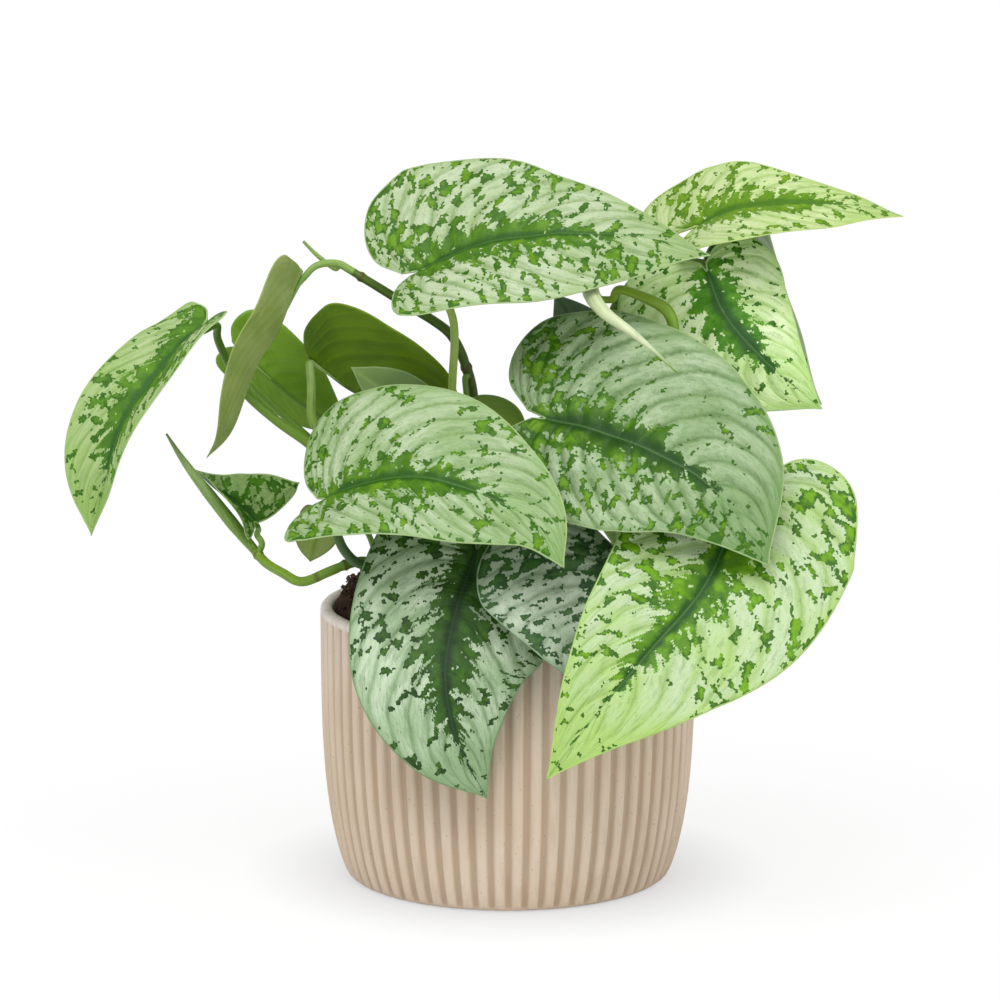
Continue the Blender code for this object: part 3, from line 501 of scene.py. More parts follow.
def leaf_piece(name, leaf, look, rays, across):
    """A closed blade: quilted between its side veins, keeled below and thin at its margin."""
    out = np.interp(np.linspace(0, 1, across + 1), [0, 0.5, 1], [0, 0.46, 1])
    left, right = leaf.grid(rays, out)
    flat = np.concatenate([left[:, :0:-1], right], axis=1)  # left margin to right
    rows, columns = flat.shape[:2]
    share = np.linspace(0, 1, rows)[:, None] * np.ones(columns)
    t = np.ones((rows, 1)) * np.concatenate([out[:0:-1], out])
    side = np.sign(across - np.arange(columns))
    widths = np.where(side > 0, *leaf.width)
    x, y = flat[..., 0], flat[..., 1]
    loop = [flat[0, across:0:-1], flat[:-1, 0], flat[::-1, -1], flat[0, -1:across:-1]]
    edge = edge_distance(flat.reshape(-1, 2), np.concatenate(loop)).reshape(rows, columns)
    vein = share - look.sweep * t**1.4 * (1 - 0.3 * share)
    phase = vein * look.veins + np.where(side > 0, 0, OTHER_SIDE)
    pillow = np.abs(np.sin(math.pi * phase)) ** 0.8
    fine = np.abs(np.sin(math.pi * (phase * 3 + 0.2)))
    fade = smooth(np.abs(y), 0.5, 6) * smooth(edge, 0, 7) * smooth(1 - share, 0.03, 0.2)
    height = look.quilt * fade * (pillow - 0.6 + 0.16 * (fine - 0.6))
    height += look.wave * swell(x, y, look.seed, 26) * smooth(edge, -6, 8)
    height += look.ruffle * swell(x, y, look.seed + 50, 30) * (1 - smooth(edge, 0, 9))
    strip = np.exp(-((y / (0.5 + 0.9 * (1 - share))) ** 2)) * smooth(1 - share, 0, 0.25)
    thick = look.thick * (0.45 + 0.55 * smooth(edge, 0, 2.5))
    upper = height + thick / 2 - look.groove * strip
    lower = height - thick / 2 - look.keel * strip * (1 - 0.7 * share)
    values = {
        "vein": (vein * leaf.length * VEIN_STRETCH, side * t * widths, share),
        "flat": (x, y, 0 * x),
        "detail": (pillow, edge, t),
    }

    def listed(grid):
        """The points row by row; the last row is one point, the tip."""
        return np.concatenate([grid[:-1].reshape(-1, 3), grid[-1:, across]])

    place, normal = leaf.place(x, y), surface_normals(leaf, x, y)
    sides = [listed(place + normal * level[..., None]) for level in (upper, lower)]
    attributes = [
        (label, np.concatenate([listed(np.stack(value, -1))] * 2))
        for label, value in values.items()
    ]
    faces, slots = blade_faces(rows, columns, len(sides[0]))
    return mesh_object(name, np.concatenate(sides), faces, attributes, slots)


def surface_normals(leaf, x, y):
    step = 0.4  # mm
    ahead = leaf.place(x + step, y) - leaf.place(x - step, y)
    # Both side steps stay in the point's own half, so that a fold keeps one normal a side.
    sign = np.where(y >= 0, 1, -1)
    aside = (leaf.place(x, y + sign * step) - leaf.place(x, y)) * sign[..., None]
    normal = unit(np.cross(ahead, aside))
    middle = x.shape[1] // 2
    normal[:, middle] = unit(normal[:, middle - 1] + normal[:, middle + 1])
    return normal


def blade_faces(rows, columns, half):
    """Faces of the upper and the lower side and of the margin, and their material slots."""
    index = np.arange(rows * columns).reshape(rows, columns)
    index[-1] = index[-1, 0]  # the tip
    corners = (index[:-1, :-1], index[1:, :-1], index[1:, 1:], index[:-1, 1:])
    quads = [list(dict.fromkeys(quad)) for quad in np.stack(corners, -1).reshape(-1, 4).tolist()]
    rim = [*index[0].tolist(), *index[1:, -1].tolist(), *index[-2:0:-1, 0].tolist()]
    faces = [face for quad in quads for face in (quad, [k + half for k in quad[::-1]])]
    faces += [[a, b, b + half, a + half] for a, b in zip(rim, rim[1:] + rim[:1])]
    return faces, [0, 1] * len(quads) + [0] * len(rim)


def skin(rings, sides):
    """Faces round a closed stack of rings, whose two end points are listed after them."""
    faces = []
    first = rings * sides
    for j in range(sides):
        k = (j + 1) % sides
        for low in range(0, first - sides, sides):
            faces.append([low + j, low + k, low + sides + k, low + sides + j])
        faces.append([first, k, j])
        faces.append([first + 1, first - sides + j, first - sides + k])
    return faces


def turned(radius, z, angle):
    """Points at these radii and heights at each angle round the upright axis."""
    x, y, z = np.broadcast_arrays(radius * np.cos(angle), radius * np.sin(angle), z)
    return np.stack([x, y, z], -1).reshape(-1, 3)


ANY_WAY = (0.31, 0.17, 0.93)  # a direction that no stem starts in


def tube(name, line, radius, sides, ridge, twist, seam):
    """A closed round tube along a line, with faint ridges lengthwise or a seam."""
    length = lengths(line)
    tangent = unit(np.gradient(line, axis=0))
    across = unit(np.cross(tangent[0], ANY_WAY))
    angle = np.arange(sides) * TURN / sides
    points = []
    for spot, ahead, r, far in zip(line, tangent, radius, length):
        across = unit(across - ahead * (across @ ahead))
        spin = angle + twist * far
        bulge = r * (1 + ridge * np.cos(3 * angle) + seam * (angle / TURN - 0.5))
        round_x, round_y = (np.cos(spin) * bulge)[:, None], (np.sin(spin) * bulge)[:, None]
        points.append(spot + round_x * across + round_y * np.cross(ahead, across))
    points = np.concatenate(points + [line[:1], line[-1:]])
    place = np.concatenate([np.repeat(length, sides), [0, length[-1]]])
    around = np.concatenate([np.tile(angle, len(line)), [0, 0]])
    size = np.concatenate([np.repeat(radius, sides), radius[:1], radius[-1:]])
    values = np.stack([place, around / TURN * 10, place / length[-1]], -1)
    spread = np.stack([np.cos(around) * size, np.sin(around) * size, place], -1)
    attributes = [("stalk", values), ("round", spread)]
    return mesh_object(name, points, skin(len(line), sides), attributes)


def linear(colour):
    """A screen colour, such as "C4D2B0", as linear light."""
    share = [c / 255 for c in bytes.fromhex(colour)]
    return tuple(c / 12.92 if c <= 0.04045 else ((c + 0.055) / 1.055) ** 2.4 for c in share)


class Paint:
    """A material and its nodes; its seed goes into all of its noise."""

    def __init__(self, name, roughness, specular, seed=0):
        self.seed = seed
        self.made = bpy.data.materials.new(name)
        self.made.use_nodes = True
        self.tree = self.made.node_tree
        self.shader = self.tree.nodes["Principled BSDF"]
        self.shader.inputs["Specular IOR Level"].default_value = specular
        self.shader.inputs["Roughness"].default_value = roughness

    def join(self, value, socket):
        """Gives the socket a field, a number, a vector, or a colour on screen or linear."""
        if isinstance(value, Field):
            self.tree.links.new(value.socket, socket)
        elif socket.type == "RGBA":
            socket.default_value = (*(linear(value) if isinstance(value, str) else value), 1)
        else:
            socket.default_value = value

    def node(self, kind, inputs, out=0, **settings):
        made = self.tree.nodes.new("ShaderNode" + kind)
        for key, value in settings.items():
            setattr(made, key, value)
        for key, value in inputs.items():
            self.join(value, made.inputs[key])
        return Field(self, made.outputs[out])

    def attribute(self, name):
        return self.node("Attribute", {}, out="Vector", attribute_name=name)

    def place(self):
        return self.node("TexCoord", {}, out="Object")

    def mix(self, share, first, second):
        """The first colour where the share is 0, and the second where it is 1."""
        return self.node("Mix", {0: share, 6: first, 7: second}, out=2, data_type="RGBA")

    def shade(self, colour, relief=None, depth=0.2, distance=0.001, roughness=None):
        """Joins the colour, the fine relief and the roughness to the shader."""
        self.join(colour, self.shader.inputs["Base Color"])
        if roughness:
            self.join(roughness, self.shader.inputs["Roughness"])
        if relief:
            bump = self.node("Bump", {"Height": relief, "Strength": depth, "Distance": distance})
            self.join(bump, self.shader.inputs["Normal"])
        return self.made


class Field:
    """What differs over a surface, a number, vector or colour: a node's output, and sums on it."""

    def __init__(self, paint, socket):
        self.paint, self.socket = paint, socket

    def math(self, operation, *values):
        return self.paint.node("Math", dict(enumerate((self, *values))), operation=operation)

    __add__ = partialmethod(math, "ADD")
    __sub__ = partialmethod(math, "SUBTRACT")
    __mul__ = partialmethod(math, "MULTIPLY")
    __abs__ = partialmethod(math, "ABSOLUTE")
    times = partialmethod(math, "MULTIPLY_ADD")  # the product, with more added to it

    def vector(self, operation, other):
        return self.paint.node("VectorMath", {0: self, 1: other}, operation=operation)

    def parts(self):
        first = self.paint.node("SeparateXYZ", {0: self})
        return [Field(self.paint, socket) for socket in first.socket.node.outputs]

    def noise(self, stretch=None, scale=1, detail=2, rough=0.5, seed=0):
        """Noise from 0 to 1 over these coordinates, multiplied by the stretch first."""
        place = self.vector("MULTIPLY", stretch) if stretch else self
        inputs = {"Vector": place, "Scale": scale, "Detail": detail, "Roughness": rough}
        inputs["W"] = self.paint.seed + seed
        return self.paint.node("TexNoise", inputs, out="Fac", noise_dimensions="4D")

    def rise(self, low, high, start=0, end=1):
        """The value from low to high, as start to end, held beyond."""
        inputs = {"Value": self, "From Min": low, "From Max": high, "To Min": start, "To Max": end}
        return self.paint.node("MapRange", inputs, interpolation_type="SMOOTHSTEP")

    def mix(self, share, second):
        return self.paint.mix(share, self, second)


def vein_phase(leaf, look, place):
    """How many side veins lie before each point; whether it is right of the midrib; its share."""
    length, across, share = place.parts()
    right_half = across.math("LESS_THAN", 0)
    steps = length * (look.veins / (leaf.length * VEIN_STRETCH))
    return right_half.times(OTHER_SIDE, steps), right_half, share


def pillows(phase):
    """0 over the side veins and 1 halfway between them."""
    return abs((phase * math.pi).math("SINE"))


VEIN_LEAN = math.radians(56)  # of the side veins to the midrib
HALF_SHIFT = 90  # takes the right half's spots from another part of their noise
SPOT_LEVEL = 0.666  # of the noise: where a spot's border lies
SPOT_SLOPE = 16  # mm inside the border for each unit of the noise


def variegated(name, leaf, look):
    """Silver, with a jagged green strip along the midrib and torn green spots along the veins."""
    paint = Paint(name, look.rough, 0.24, look.seed)
    flat, place = paint.attribute("flat"), paint.attribute("vein")
    _, edge, out = paint.attribute("detail").parts()
    phase, right_half, share = vein_phase(leaf, look, place)
    wander = flat.noise(scale=1 / 12, detail=1, seed=14)
    pillow = pillows((wander - 0.5).times(0.6, phase))
    # Colour is decided once for each small cell of the leaf, so its borders are torn.
    cells = {"Vector": flat, "Scale": 1 / look.cell, "Randomness": 1}
    cell = paint.node("TexVoronoi", cells, out="Position", voronoi_dimensions="2D")
    bent = place.vector("ADD", cell.vector("SUBTRACT", flat))
    _, across, _ = bent.parts()
    distance = abs(across)
    # The strip along the midrib, in mm inside its border
    fingers = bent.noise((1 / 4.4, 1 / 20, 0), detail=3, rough=0.65, seed=1)
    torn = cell.noise((1 / 2.4, 1 / 2.4, 1), detail=1, seed=2)
    zone = share.rise(look.reach - 0.5, look.reach, look.strip, -4)
    zone = zone + share.rise(0, 0.2, look.base, 0)
    zone = (fingers - 0.5).times(look.fingers, zone)
    zone = (torn - 0.5).times(9, zone) - distance
    holes = cell.noise((1 / 3, 1 / 3, 1), detail=1, seed=12)
    zone = zone - holes.rise(0.6, 0.7) * distance.rise(1.5, 5, 0, 20)
    # Spots, drawn out along the side veins, in mm inside their border
    lengthwise, sideways, _ = cell.parts()
    sideways = abs(sideways)
    lean = (math.cos(VEIN_LEAN), math.sin(VEIN_LEAN))
    outward = sideways.times(lean[1], lengthwise * lean[0])
    beside = right_half.times(HALF_SHIFT, sideways.times(lean[0], lengthwise * -lean[1]))
    leaning = paint.node("CombineXYZ", {0: outward, 1: beside})
    fleck = leaning.noise((1 / look.spot_long, 1 / look.spot_wide, 1), rough=0.55)
    crowd = cell.noise(scale=1 / 24, detail=1, seed=4)
    dense = crowd.rise(0.35, 0.65, look.spots - look.crowd, look.spots + look.crowd)
    dense = dense + edge.rise(0, look.margin_width, look.margin, 0)
    dense = dense - share.rise(look.clear_from, look.clear_to, 0, look.tip_clear)
    dense = dense + across.rise(-3, 3, *look.lean)
    inside = (dense.times(0.18, fleck) - SPOT_LEVEL) * SPOT_SLOPE
    depth = zone.math("MAXIMUM", inside).math("MINIMUM", edge - torn * 1.1)
    green_mask = depth.math("GREATER_THAN", 0)
    # Silver: greener towards the margin, and greener and darker in the furrows over the veins,
    # partly their own green and partly painted shade
    pale, dark, greener = look.silver.split()
    plain, deep, bright, torn_edge = look.green.split()
    mottle = place.noise((1 / 1.9, 1 / 3, 0), detail=4, rough=0.7, seed=5)
    broad = flat.noise(scale=1 / 20, detail=1, seed=6)
    ghost = bent.noise((1 / 3.4, 1 / 6.5, 0), rough=0.6, seed=13)
    specks = place.noise((1, 0.7, 0), detail=1, seed=7)
    silver = (
        paint.mix(mottle.rise(0.4, 0.64, 0, 0.75), pale, dark)
        .mix(broad.rise(0.35, 0.7, 0, 0.5), greener)
        .mix(share.rise(0.6, 1, 0, look.tip_green), greener)
        .mix(edge.rise(0.5, 5, 0.4, 0), greener)
        # Greener, darker silver in the furrows over the side veins: partly the veins' own green,
        # partly painted shade
        .mix(pillow.rise(0, 0.8, look.valley, 0), greener)
        .mix(ghost.rise(0.55, 0.6, 0, look.ghost), plain)
        .mix(specks.rise(0.66, 0.72, 0, 0.6), plain)
    )
    # Green: darkest near the midrib, darker at the torn borders, brighter inside the patches
    tone = flat.noise(scale=1 / 5, seed=8) - 0.5
    inner = tone.times(5, depth)
    lively = inner.rise(0.3, 2) * tone.times(2.2, out * look.lively).rise(0, 0.6, 0.15, 1)
    green = (
        paint.mix(inner.rise(0, 1), torn_edge, plain)
        .mix(lively, bright)
        .mix(tone.times(5, distance).rise(0.8, look.dark_width, 1, 0), deep)
    )
    # Painted shade in the furrows over the side veins, seen here and there, and the midrib and the
    # rim
    patchy = place.noise((1 / 10, 1 / 9, 0), detail=1, seed=15)
    seen = distance.rise(1, 5) * edge.rise(0.5, 5) * patchy.rise(0.35, 0.62, 0.25, 1)
    colour = (
        silver.mix(green_mask, green)
        # Darker green in the furrows over the side veins, where they are seen: painted shade
        .mix(pillow.rise(0, 0.6, look.shadow * 1.4, 0) * seen, deep)
        .mix(pillow.rise(0, 0.14, look.shadow * 1.1, 0) * seen, deep)
        .mix(abs(flat.parts()[1]).rise(0.1, 0.6, 0.4, 0), look.rib)
        .mix(edge.rise(0.1, 0.75, 0.75, 0), look.rim)
    )
    grain = flat.noise(scale=2.2, detail=3, rough=0.6, seed=10)
    ribs = place.noise((0.9, 0.16, 0), seed=11)
    relief = green_mask.times(-0.15, grain.times(0.4, ribs))
    relief = relief + pillow.rise(0, 0.4, -0.9, 0) * seen
    roughness = green_mask.rise(0, 1, look.rough + 0.06, look.rough - 0.06)
    return paint.shade(colour, relief, 0.45, 0.0006, roughness)


def plain_leaf(name, leaf, look, tones):
    """One green, a little paler between the veins, with a paler or darker midrib."""
    paint = Paint(name, look.rough, 0.22, look.seed)
    flat, place = paint.attribute("flat"), paint.attribute("vein")
    _, edge, _ = paint.attribute("detail").parts()
    phase, _, share = vein_phase(leaf, look, place)
    broad = flat.noise(scale=1 / 16, seed=21)
    streak = place.noise((1 / 1.6, 1 / 14, 0), seed=22)
    first, second, third = tones.split()
    colour = (
        paint.mix(broad.rise(0.35, 0.65), first, second)
        .mix(share.rise(0.2, 0.9, 0, look.shift), third)
        .mix(streak.rise(0.4, 0.75, 0, 0.3), second)
        .mix(pillows(phase).rise(0, 0.5, 0.3, 0), third)
        .mix(abs(flat.parts()[1]).rise(0.3, 1.4, 0.6, 0), look.under_rib)
        .mix(edge.rise(0.1, 0.9, 0.6, 0), look.under_rim)
    )
    relief = flat.noise(scale=1.6, detail=3, seed=23).times(0.3, streak)
    return paint.shade(colour, relief, 0.3, 0.0005)


def stalk(name, colours, bands):
    """A green stem: fine lengthwise streaks, a change of colour along it and brown rings."""
    paint = Paint(name, roughness=0.4, specular=0.4)
    spread = paint.attribute("round")
    low, high, tip = colours.split()
    _, _, share = paint.attribute("stalk").parts()
    streak = spread.noise((1, 1, 0.06), scale=1.6, detail=3, seed=1)
    mottle = spread.noise((0.3, 0.3, 0.16), detail=3, seed=2)
    dark = tuple(c * 0.45 for c in linear(low))
    light = tuple(min(1, c * 1.5) for c in linear(high))
    colour = (
        paint.mix(share.rise(0.1, 0.9), low, high)
        .mix(share.rise(0.75, 1), tip)
        .mix(streak.rise(0.45, 0.75, 0, 0.5), dark)
        .mix(mottle.rise(0.5, 0.8, 0, 0.35), light)
    )
    for at, width in bands:
        colour = colour.mix(abs(share - at).rise(0, width, 0.75, 0), (0.10, 0.07, 0.02))
    return paint.shade(colour, mottle.times(0.5, streak), 0.3, 0.0004)


def bark(name, pale, dark):
    paint = Paint(name, roughness=0.9, specular=0.15)
    spread = paint.attribute("round")
    grain = spread.noise((1, 1, 0.3), scale=1.2, detail=4, rough=0.7, seed=3)
    return paint.shade(paint.mix(grain.rise(0.35, 0.65), dark, pale), grain, 0.8, 0.0012)


def grow_leaf(name, number, row):
    *shape, own = row
    leaf = Leaf(*shape)
    look = SimpleNamespace(**{**LOOK, **own}, seed=number)
    size = LARGE if max(leaf.width) > LARGE_FROM else SMALL
    made = leaf_piece("blade_" + name, leaf, look, *size)
    name = "leaf_" + name
    if "over" in own:
        face, slot = plain_leaf(name + "_face", leaf, look, look.over), "green_leaf"
    else:
        face, slot = variegated(name + "_face", leaf, look), "variegated_leaf"
    under = plain_leaf(name + "_under", leaf, look, look.under)
    set_piece(made, (face, under), [name])
    return leaf


RING_BAND = 0.012  # half the width of the brown at a ring, as a share of the stem
UNDER_RUN = np.array([5, 9, 14, 20])  # how far a petiole runs on under a blade 60 mm long
UNDER_SLIM = np.array([0.7, 0.55, 0.4, 0.2])  # its radius there, as a share
STEM_SHAPE = dict(sides=14, ridge=0.05, twist=0.004, seam=0)
ROLLED_SHAPE = dict(sides=20, ridge=0, twist=0.035, seam=0.16)


def grow_stem(name, stem, stems):
    """The stem's own course, run on into what it grows from and along the blade it carries."""
    colours, rings, bands = (*STALKS.get(name, STALK), (), ())[:3]
    line, radius = stem.line, stem.radius
    if stem.parent != "soil":
        parent = stems[stem.parent].line
        line = np.vstack([along(parent, stem.spot[0] * lengths(parent)[-1]), line])
        radius = np.concatenate([radius[:1], radius])
    if stem.leaf:
        spot, _, up = stem.leaf.frame(UNDER_RUN * min(1, stem.leaf.length / 60))
        slim = np.minimum(radius[-1], 1.1) * UNDER_SLIM
        line = np.vstack([line, spot - up * (slim + 0.55)[:, None]])
        radius = np.concatenate([radius, slim])
    place = lengths(line)
    fine = np.linspace(0, place[-1], max(12, int(place[-1])))
    line, radius = sample(line, place, fine), np.interp(fine, place, radius)
    for _ in range(3):
        line[1:-1] = (line[:-2] + 2 * line[1:-1] + line[2:]) / 4
    for share in rings:
        gap = fine - share * fine[-1]
        swollen, pinched = np.exp(-((gap / 0.9) ** 2)), np.exp(-(((gap - 2) / 1.2) ** 2))
        radius = radius + 0.45 * swollen - 0.15 * pinched
    shape = ROLLED_SHAPE if name in ROLLED else STEM_SHAPE
    made = tube("stem_" + name, line, radius, **shape)
    if name in BARK:
        paint = bark(name + "_paint", *BARK[name].split())
    else:
        bands += tuple((share, RING_BAND) for share in rings)
        paint = stalk(name + "_paint", colours, bands)
    set_piece(made, (paint,), [name])


POT_RADIUS = 75
POT_HEIGHT = 110
POT_WALL = 5
POT_FLOOR = 6
POT_FOOT_RADIUS = 60
POT_TAPER = 10.9
RIM = 2.2
GROOVES = 64
GROOVE_DEPTH = 1.6
GROOVE_TOP = 106.6
GROOVE_FADE = 2.4
COLUMNS_EACH = 10


def pot_wall(z):
    depth = 1 - z / POT_HEIGHT
    return POT_RADIUS - POT_TAPER * (1 - (1 - depth**3.7) ** 0.8)


def pot_rings():
    """Radius, height and groove depth of each ring, from under the foot to the floor inside."""
    foot, inner = POT_FOOT_RADIUS, POT_RADIUS - POT_WALL
    rings = [(foot - 6, 0.5, 0), (foot - 4.5, 0, 0), (foot, 0, 0)]
    rings += [(pot_wall(0.5) - 0.9, 0.5, 0), (pot_wall(1.4) - 0.1, 1.4, 0.6)]
    heights = [3, 4.5, 6.5, 9, 12, 16, 21, 27, 34, 42, 51, 60, 70, 80, 90, 98]
    rings += [(pot_wall(z), z, 1) for z in heights]
    for z in np.linspace(GROOVE_TOP - GROOVE_FADE, GROOVE_TOP, 7):
        share = (GROOVE_TOP - z) / GROOVE_FADE
        rings.append((pot_wall(z), z, math.sqrt(max(0, 1 - (1 - share) ** 2))))
    rings.append((POT_RADIUS, POT_HEIGHT - RIM - 0.6, 0))
    bend = np.radians(np.linspace(0, 90, 6))
    lip = [(RIM * (1 - math.cos(a)), POT_HEIGHT - RIM * (1 - math.sin(a)), 0) for a in bend]
    rings += [(POT_RADIUS - inward, *rest) for inward, *rest in lip]
    rings += [(inner + outward, *rest) for outward, *rest in lip[::-1]]
    rings += [(inner - 0.2, 100, 0), (inner - 4, 40, 0), (inner - 14, 10, 0)]
    return rings + [(inner - 20, POT_FLOOR, 0)]


def make_pot():
    """Turned rings with a rounded groove sunk at every sixty-fourth of the way round."""
    columns = GROOVES * COLUMNS_EACH
    angle = np.arange(columns) * TURN / columns
    dip = smooth(np.cos(angle * GROOVES) * 0.5 + 0.5, 0.4, 0.9)  # 1 in the middle of a groove
    radius, z, groove = np.array(pot_rings(), float).T[..., None]
    share = dip * groove
    points = turned(radius - GROOVE_DEPTH * share * np.minimum(1, radius / 66), z, angle)
    marks = np.stack(np.broadcast_arrays(share, z), -1).reshape(-1, 2)
    ends = (z[0, 0], z[-1, 0])
    points = np.vstack([points, [(0, 0, end) for end in ends]])
    marks = np.vstack([marks, [(0, end) for end in ends]])
    marks = np.hstack([marks, 0 * marks[:, :1]])
    made = mesh_object("grooved_pot", points, skin(len(z), columns), [("mark", marks)])
    set_piece(made, (pot_paint(),), ["pot"])


def pot_paint():
    """Matte stoneware: warm beige, browner in the grooves, partly its own colour and partly
    painted shade, with faint specks and drag marks.
    """
    paint = Paint("matte_stoneware", roughness=0.72, specular=0.3)
    groove, height, _ = paint.attribute("mark").parts()
    place = paint.place()
    cloud = place.noise((28, 28, 16), detail=3, seed=1)
    grit = place.noise(scale=900, seed=2)
    drag = place.noise((260, 260, 26), detail=3, seed=3)
    body = (
        paint.mix(cloud.rise(0.3, 0.7), "E0CEBA", "D7C3AB")
        .mix(height.rise(70, 104, 0, 0.5), "E6D9CE")
        .mix(height.rise(105.5, 108), "EAE1D9")
        .mix(drag.rise(0.45, 0.75, 0, 0.35), "BCA58C")
        # Browner in the grooves: partly the stoneware's own colour, partly painted shade
        .mix(groove.rise(0.15, 0.9, 0, 0.5), "A2886C")
        .mix(grit.rise(0.66, 0.72, 0, 0.5), "967D64")
    )
    return paint.shade(body, drag.times(0.6, grit), 0.25, 0.0004)


# Soil: radius, and height above the rim, as the CAD mound has them
SOIL_MOUND = ((0, 13), (30, 12.5), (50, 12), (60, 10.5), (65, 7), (68, 2), (69.5, -3))
SOIL_COLUMNS = 220
SOIL_UNDER = ((49.4, 6.4), (55.4, 10.4), (65.4, 40))  # radius and height inside the pot
CRUMBS = 1300
CRUMB_REACH = 68.6  # of a crumb's middle from the axis
CRUMB_LIMIT = 69.2  # of its edge, just inside the pot's wall
CRUMB = np.array([
    (1, 0, 0), (-1, 0, 0), (0, 1, 0), (0, -1, 0), (0, 0, 1), (0, 0, -1),
    (0.62, 0.62, 0.4), (-0.62, 0.6, -0.4), (0.6, -0.62, -0.45), (-0.6, -0.6, 0.45),
])


def mound(radius):
    return np.interp(radius, *np.array(SOIL_MOUND, float).T) + POT_HEIGHT


def make_soil():
    """A lumpy mound inside the pot, and loose crumbs strewn over it."""
    radii = np.concatenate([np.linspace(0.6, 60, 56), np.linspace(61, 69.3, 14)])[::-1, None]
    angle = np.arange(SOIL_COLUMNS) * TURN / SOIL_COLUMNS
    x, y = radii * np.cos(angle), radii * np.sin(angle)
    lumps = 1.2 * swell(x, y, 71, 9, 12) + 0.8 * swell(x, y, 72, 4, 16)
    z = mound(radii) + lumps * smooth(69.6 - radii, 0, 3) - 0.8
    under, deep = np.array(SOIL_UNDER).T[..., None]
    radii, z = np.vstack([under, radii]), np.vstack([deep + 0 * angle, z])
    points = np.vstack([turned(radii, z, angle), [(0, 0, deep[0, 0]), (0, 0, z[-1].mean())]])
    soil = mesh_object("soil_mound", points, skin(len(radii), SOIL_COLUMNS))
    set_piece(soil, (soil_paint(),), ["potting_soil"])
    crumbs = strew_crumbs()
    crumbs.data.materials.append(crumb_paint())
    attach(crumbs, "root")


def strew_crumbs():
    random = np.random.default_rng(11)
    points, faces, tints = [], [], []
    hull = crumb_faces(CRUMB)
    for _ in range(CRUMBS):
        reach = CRUMB_REACH * math.sqrt(random.uniform(0, 1))
        turn = random.uniform(0, TURN)
        size = random.uniform(0.45, 1.25)
        shape = np.array([size * random.uniform(1, 1.9), size, size * random.uniform(0.6, 1)])
        lump = CRUMB * random.uniform(0.75, 1.15, (len(CRUMB), 1)) * shape
        yaw, tilt = random.uniform(0, TURN), random.normal(0, 0.45)
        c, s = math.cos(tilt), math.sin(tilt)
        lift = np.array([[c, 0, -s], [0, 1, 0], [s, 0, c]])
        c, s = math.cos(yaw), math.sin(yaw)
        lump = lump @ lift.T @ np.array([[c, s, 0], [-s, c, 0], [0, 0, 1]])
        reach = min(reach, CRUMB_LIMIT - np.linalg.norm(lump[:, :2], axis=1).max())
        height = mound(reach) + random.uniform(-0.6, 1)
        faces += [[k + len(points) for k in face] for face in hull]
        points += (lump + (reach * math.cos(turn), reach * math.sin(turn), height)).tolist()
        tints += [(random.uniform(0, 1), 0, 0)] * len(CRUMB)
    made = mesh_object("soil_crumbs", points, faces, [("tint", tints)])
    made.data.shade_flat()
    return made


def crumb_faces(base):
    """Faces of the convex lump around the points, facing out."""
    faces = []
    for a, b, c in combinations(range(len(base)), 3):
        side = (base - base[a]) @ np.cross(base[b] - base[a], base[c] - base[a])
        if (side < 1e-9).all():
            faces.append([a, b, c])
        elif (side > -1e-9).all():
            faces.append([a, c, b])
    return faces


def soil_paint():
    paint = Paint("dark_soil", roughness=0.95, specular=0.1)
    place = paint.place()
    grain = place.noise(scale=420, detail=4, rough=0.7, seed=1)
    lumps = place.noise(scale=130, detail=3, seed=2)
    colour = paint.mix(grain.rise(0.35, 0.7), "221812", "543E2E")
    colour = colour.mix(lumps.rise(0.45, 0.75, 0, 0.6), "34261C")
    return paint.shade(colour, grain, 1, 0.002)


def crumb_paint():
    paint = Paint("bark_crumbs", roughness=0.9, specular=0.15)
    tint = paint.attribute("tint").parts()[0]
    grain = paint.place().noise(scale=600, detail=3, seed=4)
    colour = paint.mix(tint, "38291F", "6A523E")
    colour = colour.mix(grain.rise(0.4, 0.7, 0, 0.6), "1E1610")
    return paint.shade(colour, grain, 0.8, 0.001)


DOME = 0.44
GLOW = 0.84  # the floor glows a little to the camera, which keeps the shadows on it faint
SHADE_REACH = 0.042  # metres from the foot that the close shade on the floor reaches
CLOSE_SHADE = 0.4
PAPER = ((0.145, 0.145, 0.145), (0.155, 0.155, 0.155))  # as the camera sees the floor
PAPER_LIT = (0.75, 0.75, 0.75)  # as the light that falls back from it
BACKDROP = 0.985
LIGHTS = (
    ("key", (-0.3, -1.3, 2.5), 45, 1.75),
    ("left_fill", (-2.4, -1.2, 0.9), 70, 0.62),
    ("right_fill", (2.3, -1.5, 0.8), 70, 1.2),
)
LIT_POINT = Vector((0, 0, 0.14))
CAMERA_TARGET = Vector((-0.0032, 0, 0.1515))
CAMERA_REACH = 1.6
CAMERA_RISE = math.radians(10.15)
FRAME_WIDTH = 1000 / 2511  # metres across the frame at the target


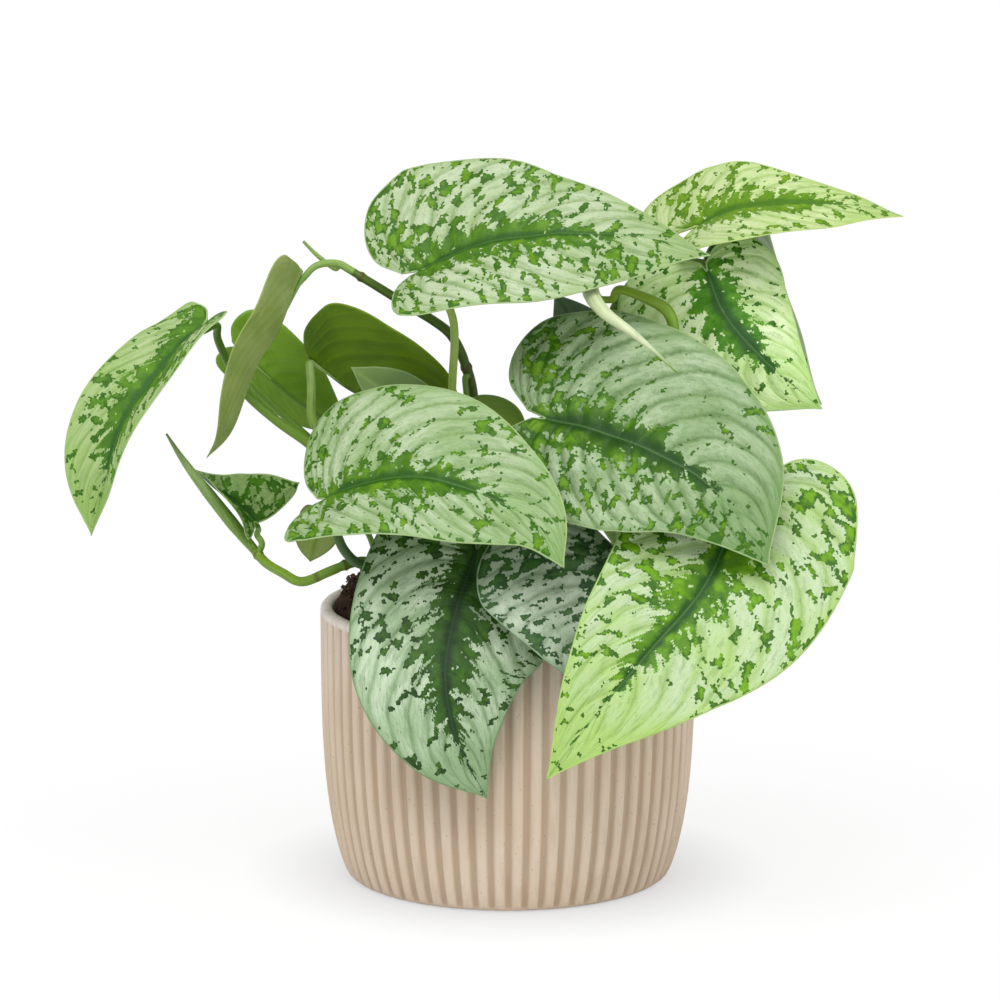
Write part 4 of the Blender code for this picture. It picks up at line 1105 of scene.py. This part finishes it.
def make_studio():
    """A pale floor, a pale dome over it, and broad soft lights."""
    bpy.ops.mesh.primitive_plane_add(size=60, location=(0, 0, 0))
    floor = bpy.context.object
    floor.name = "studio_floor"
    paint = Paint("floor_paper", roughness=0.9, specular=0.1)
    seen = paint.node("LightPath", {}, out="Is Camera Ray")
    paper = paint.mix(paint.place().noise(scale=3, detail=1), *PAPER)
    paint.shade(paint.mix(seen, PAPER_LIT, paper))
    paint.shader.inputs["Emission Color"].default_value = (1, 1, 1, 1)
    near = paint.node("AmbientOcclusion", {"Distance": SHADE_REACH}, out="AO")
    glow = seen * near.times(CLOSE_SHADE * GLOW, (1 - CLOSE_SHADE) * GLOW)
    paint.join(glow, paint.shader.inputs["Emission Strength"])
    floor.data.materials.append(paint.made)
    world = bpy.data.worlds.new("pale_dome")
    bpy.context.scene.world = world
    world.use_nodes = True
    tree = world.node_tree
    tree.nodes.clear()
    kinds = ("LightPath", "MixShader", "OutputWorld")
    seen, either, out = (tree.nodes.new("ShaderNode" + kind) for kind in kinds)
    tree.links.new(seen.outputs["Is Camera Ray"], either.inputs[0])
    for slot, (pale, strength) in enumerate(((1, DOME), (BACKDROP, 1)), 1):
        sky = tree.nodes.new("ShaderNodeBackground")
        sky.inputs["Color"].default_value = (pale, pale, pale, 1)
        sky.inputs["Strength"].default_value = strength
        tree.links.new(sky.outputs[0], either.inputs[slot])
    tree.links.new(either.outputs[0], out.inputs[0])
    for name, spot, spread, strength in LIGHTS:
        lamp = bpy.data.lights.new(name, "SUN")
        lamp.angle = math.radians(spread)
        lamp.energy = strength
        made = bpy.data.objects.new(name, lamp)
        made.location = spot
        aim = LIT_POINT - made.location
        made.rotation_euler = aim.to_track_quat("-Z", "Y").to_euler()
        bpy.context.scene.collection.objects.link(made)
    bpy.context.scene.view_settings.view_transform = "Standard"


def make_camera():
    lens = bpy.data.cameras.new("camera")
    camera = bpy.data.objects.new("camera", lens)
    back = Vector((0, -math.cos(CAMERA_RISE), math.sin(CAMERA_RISE)))
    camera.location = CAMERA_TARGET + back * CAMERA_REACH
    camera.rotation_euler = (-back).to_track_quat("-Z", "Y").to_euler()
    lens.lens = lens.sensor_width * CAMERA_REACH / FRAME_WIDTH
    lens.clip_start = 0.05
    bpy.context.scene.collection.objects.link(camera)
    bpy.context.scene.camera = camera


make_camera()
make_studio()
make_pot()
make_soil()
leaves = {}
for number, (name, row) in enumerate(LEAVES.items(), 1):
    leaves[name] = grow_leaf(name, number, row)
stems = {}
for line in STEMS.split("\n")[1:-1]:
    name, *row = line.split(" | ")
    stems[name] = Stem(*row, stems, leaves.get(name.removeprefix("petiole_")))
for name, stem in stems.items():
    grow_stem(name, stem, stems)

bpy.context.view_layer.update()
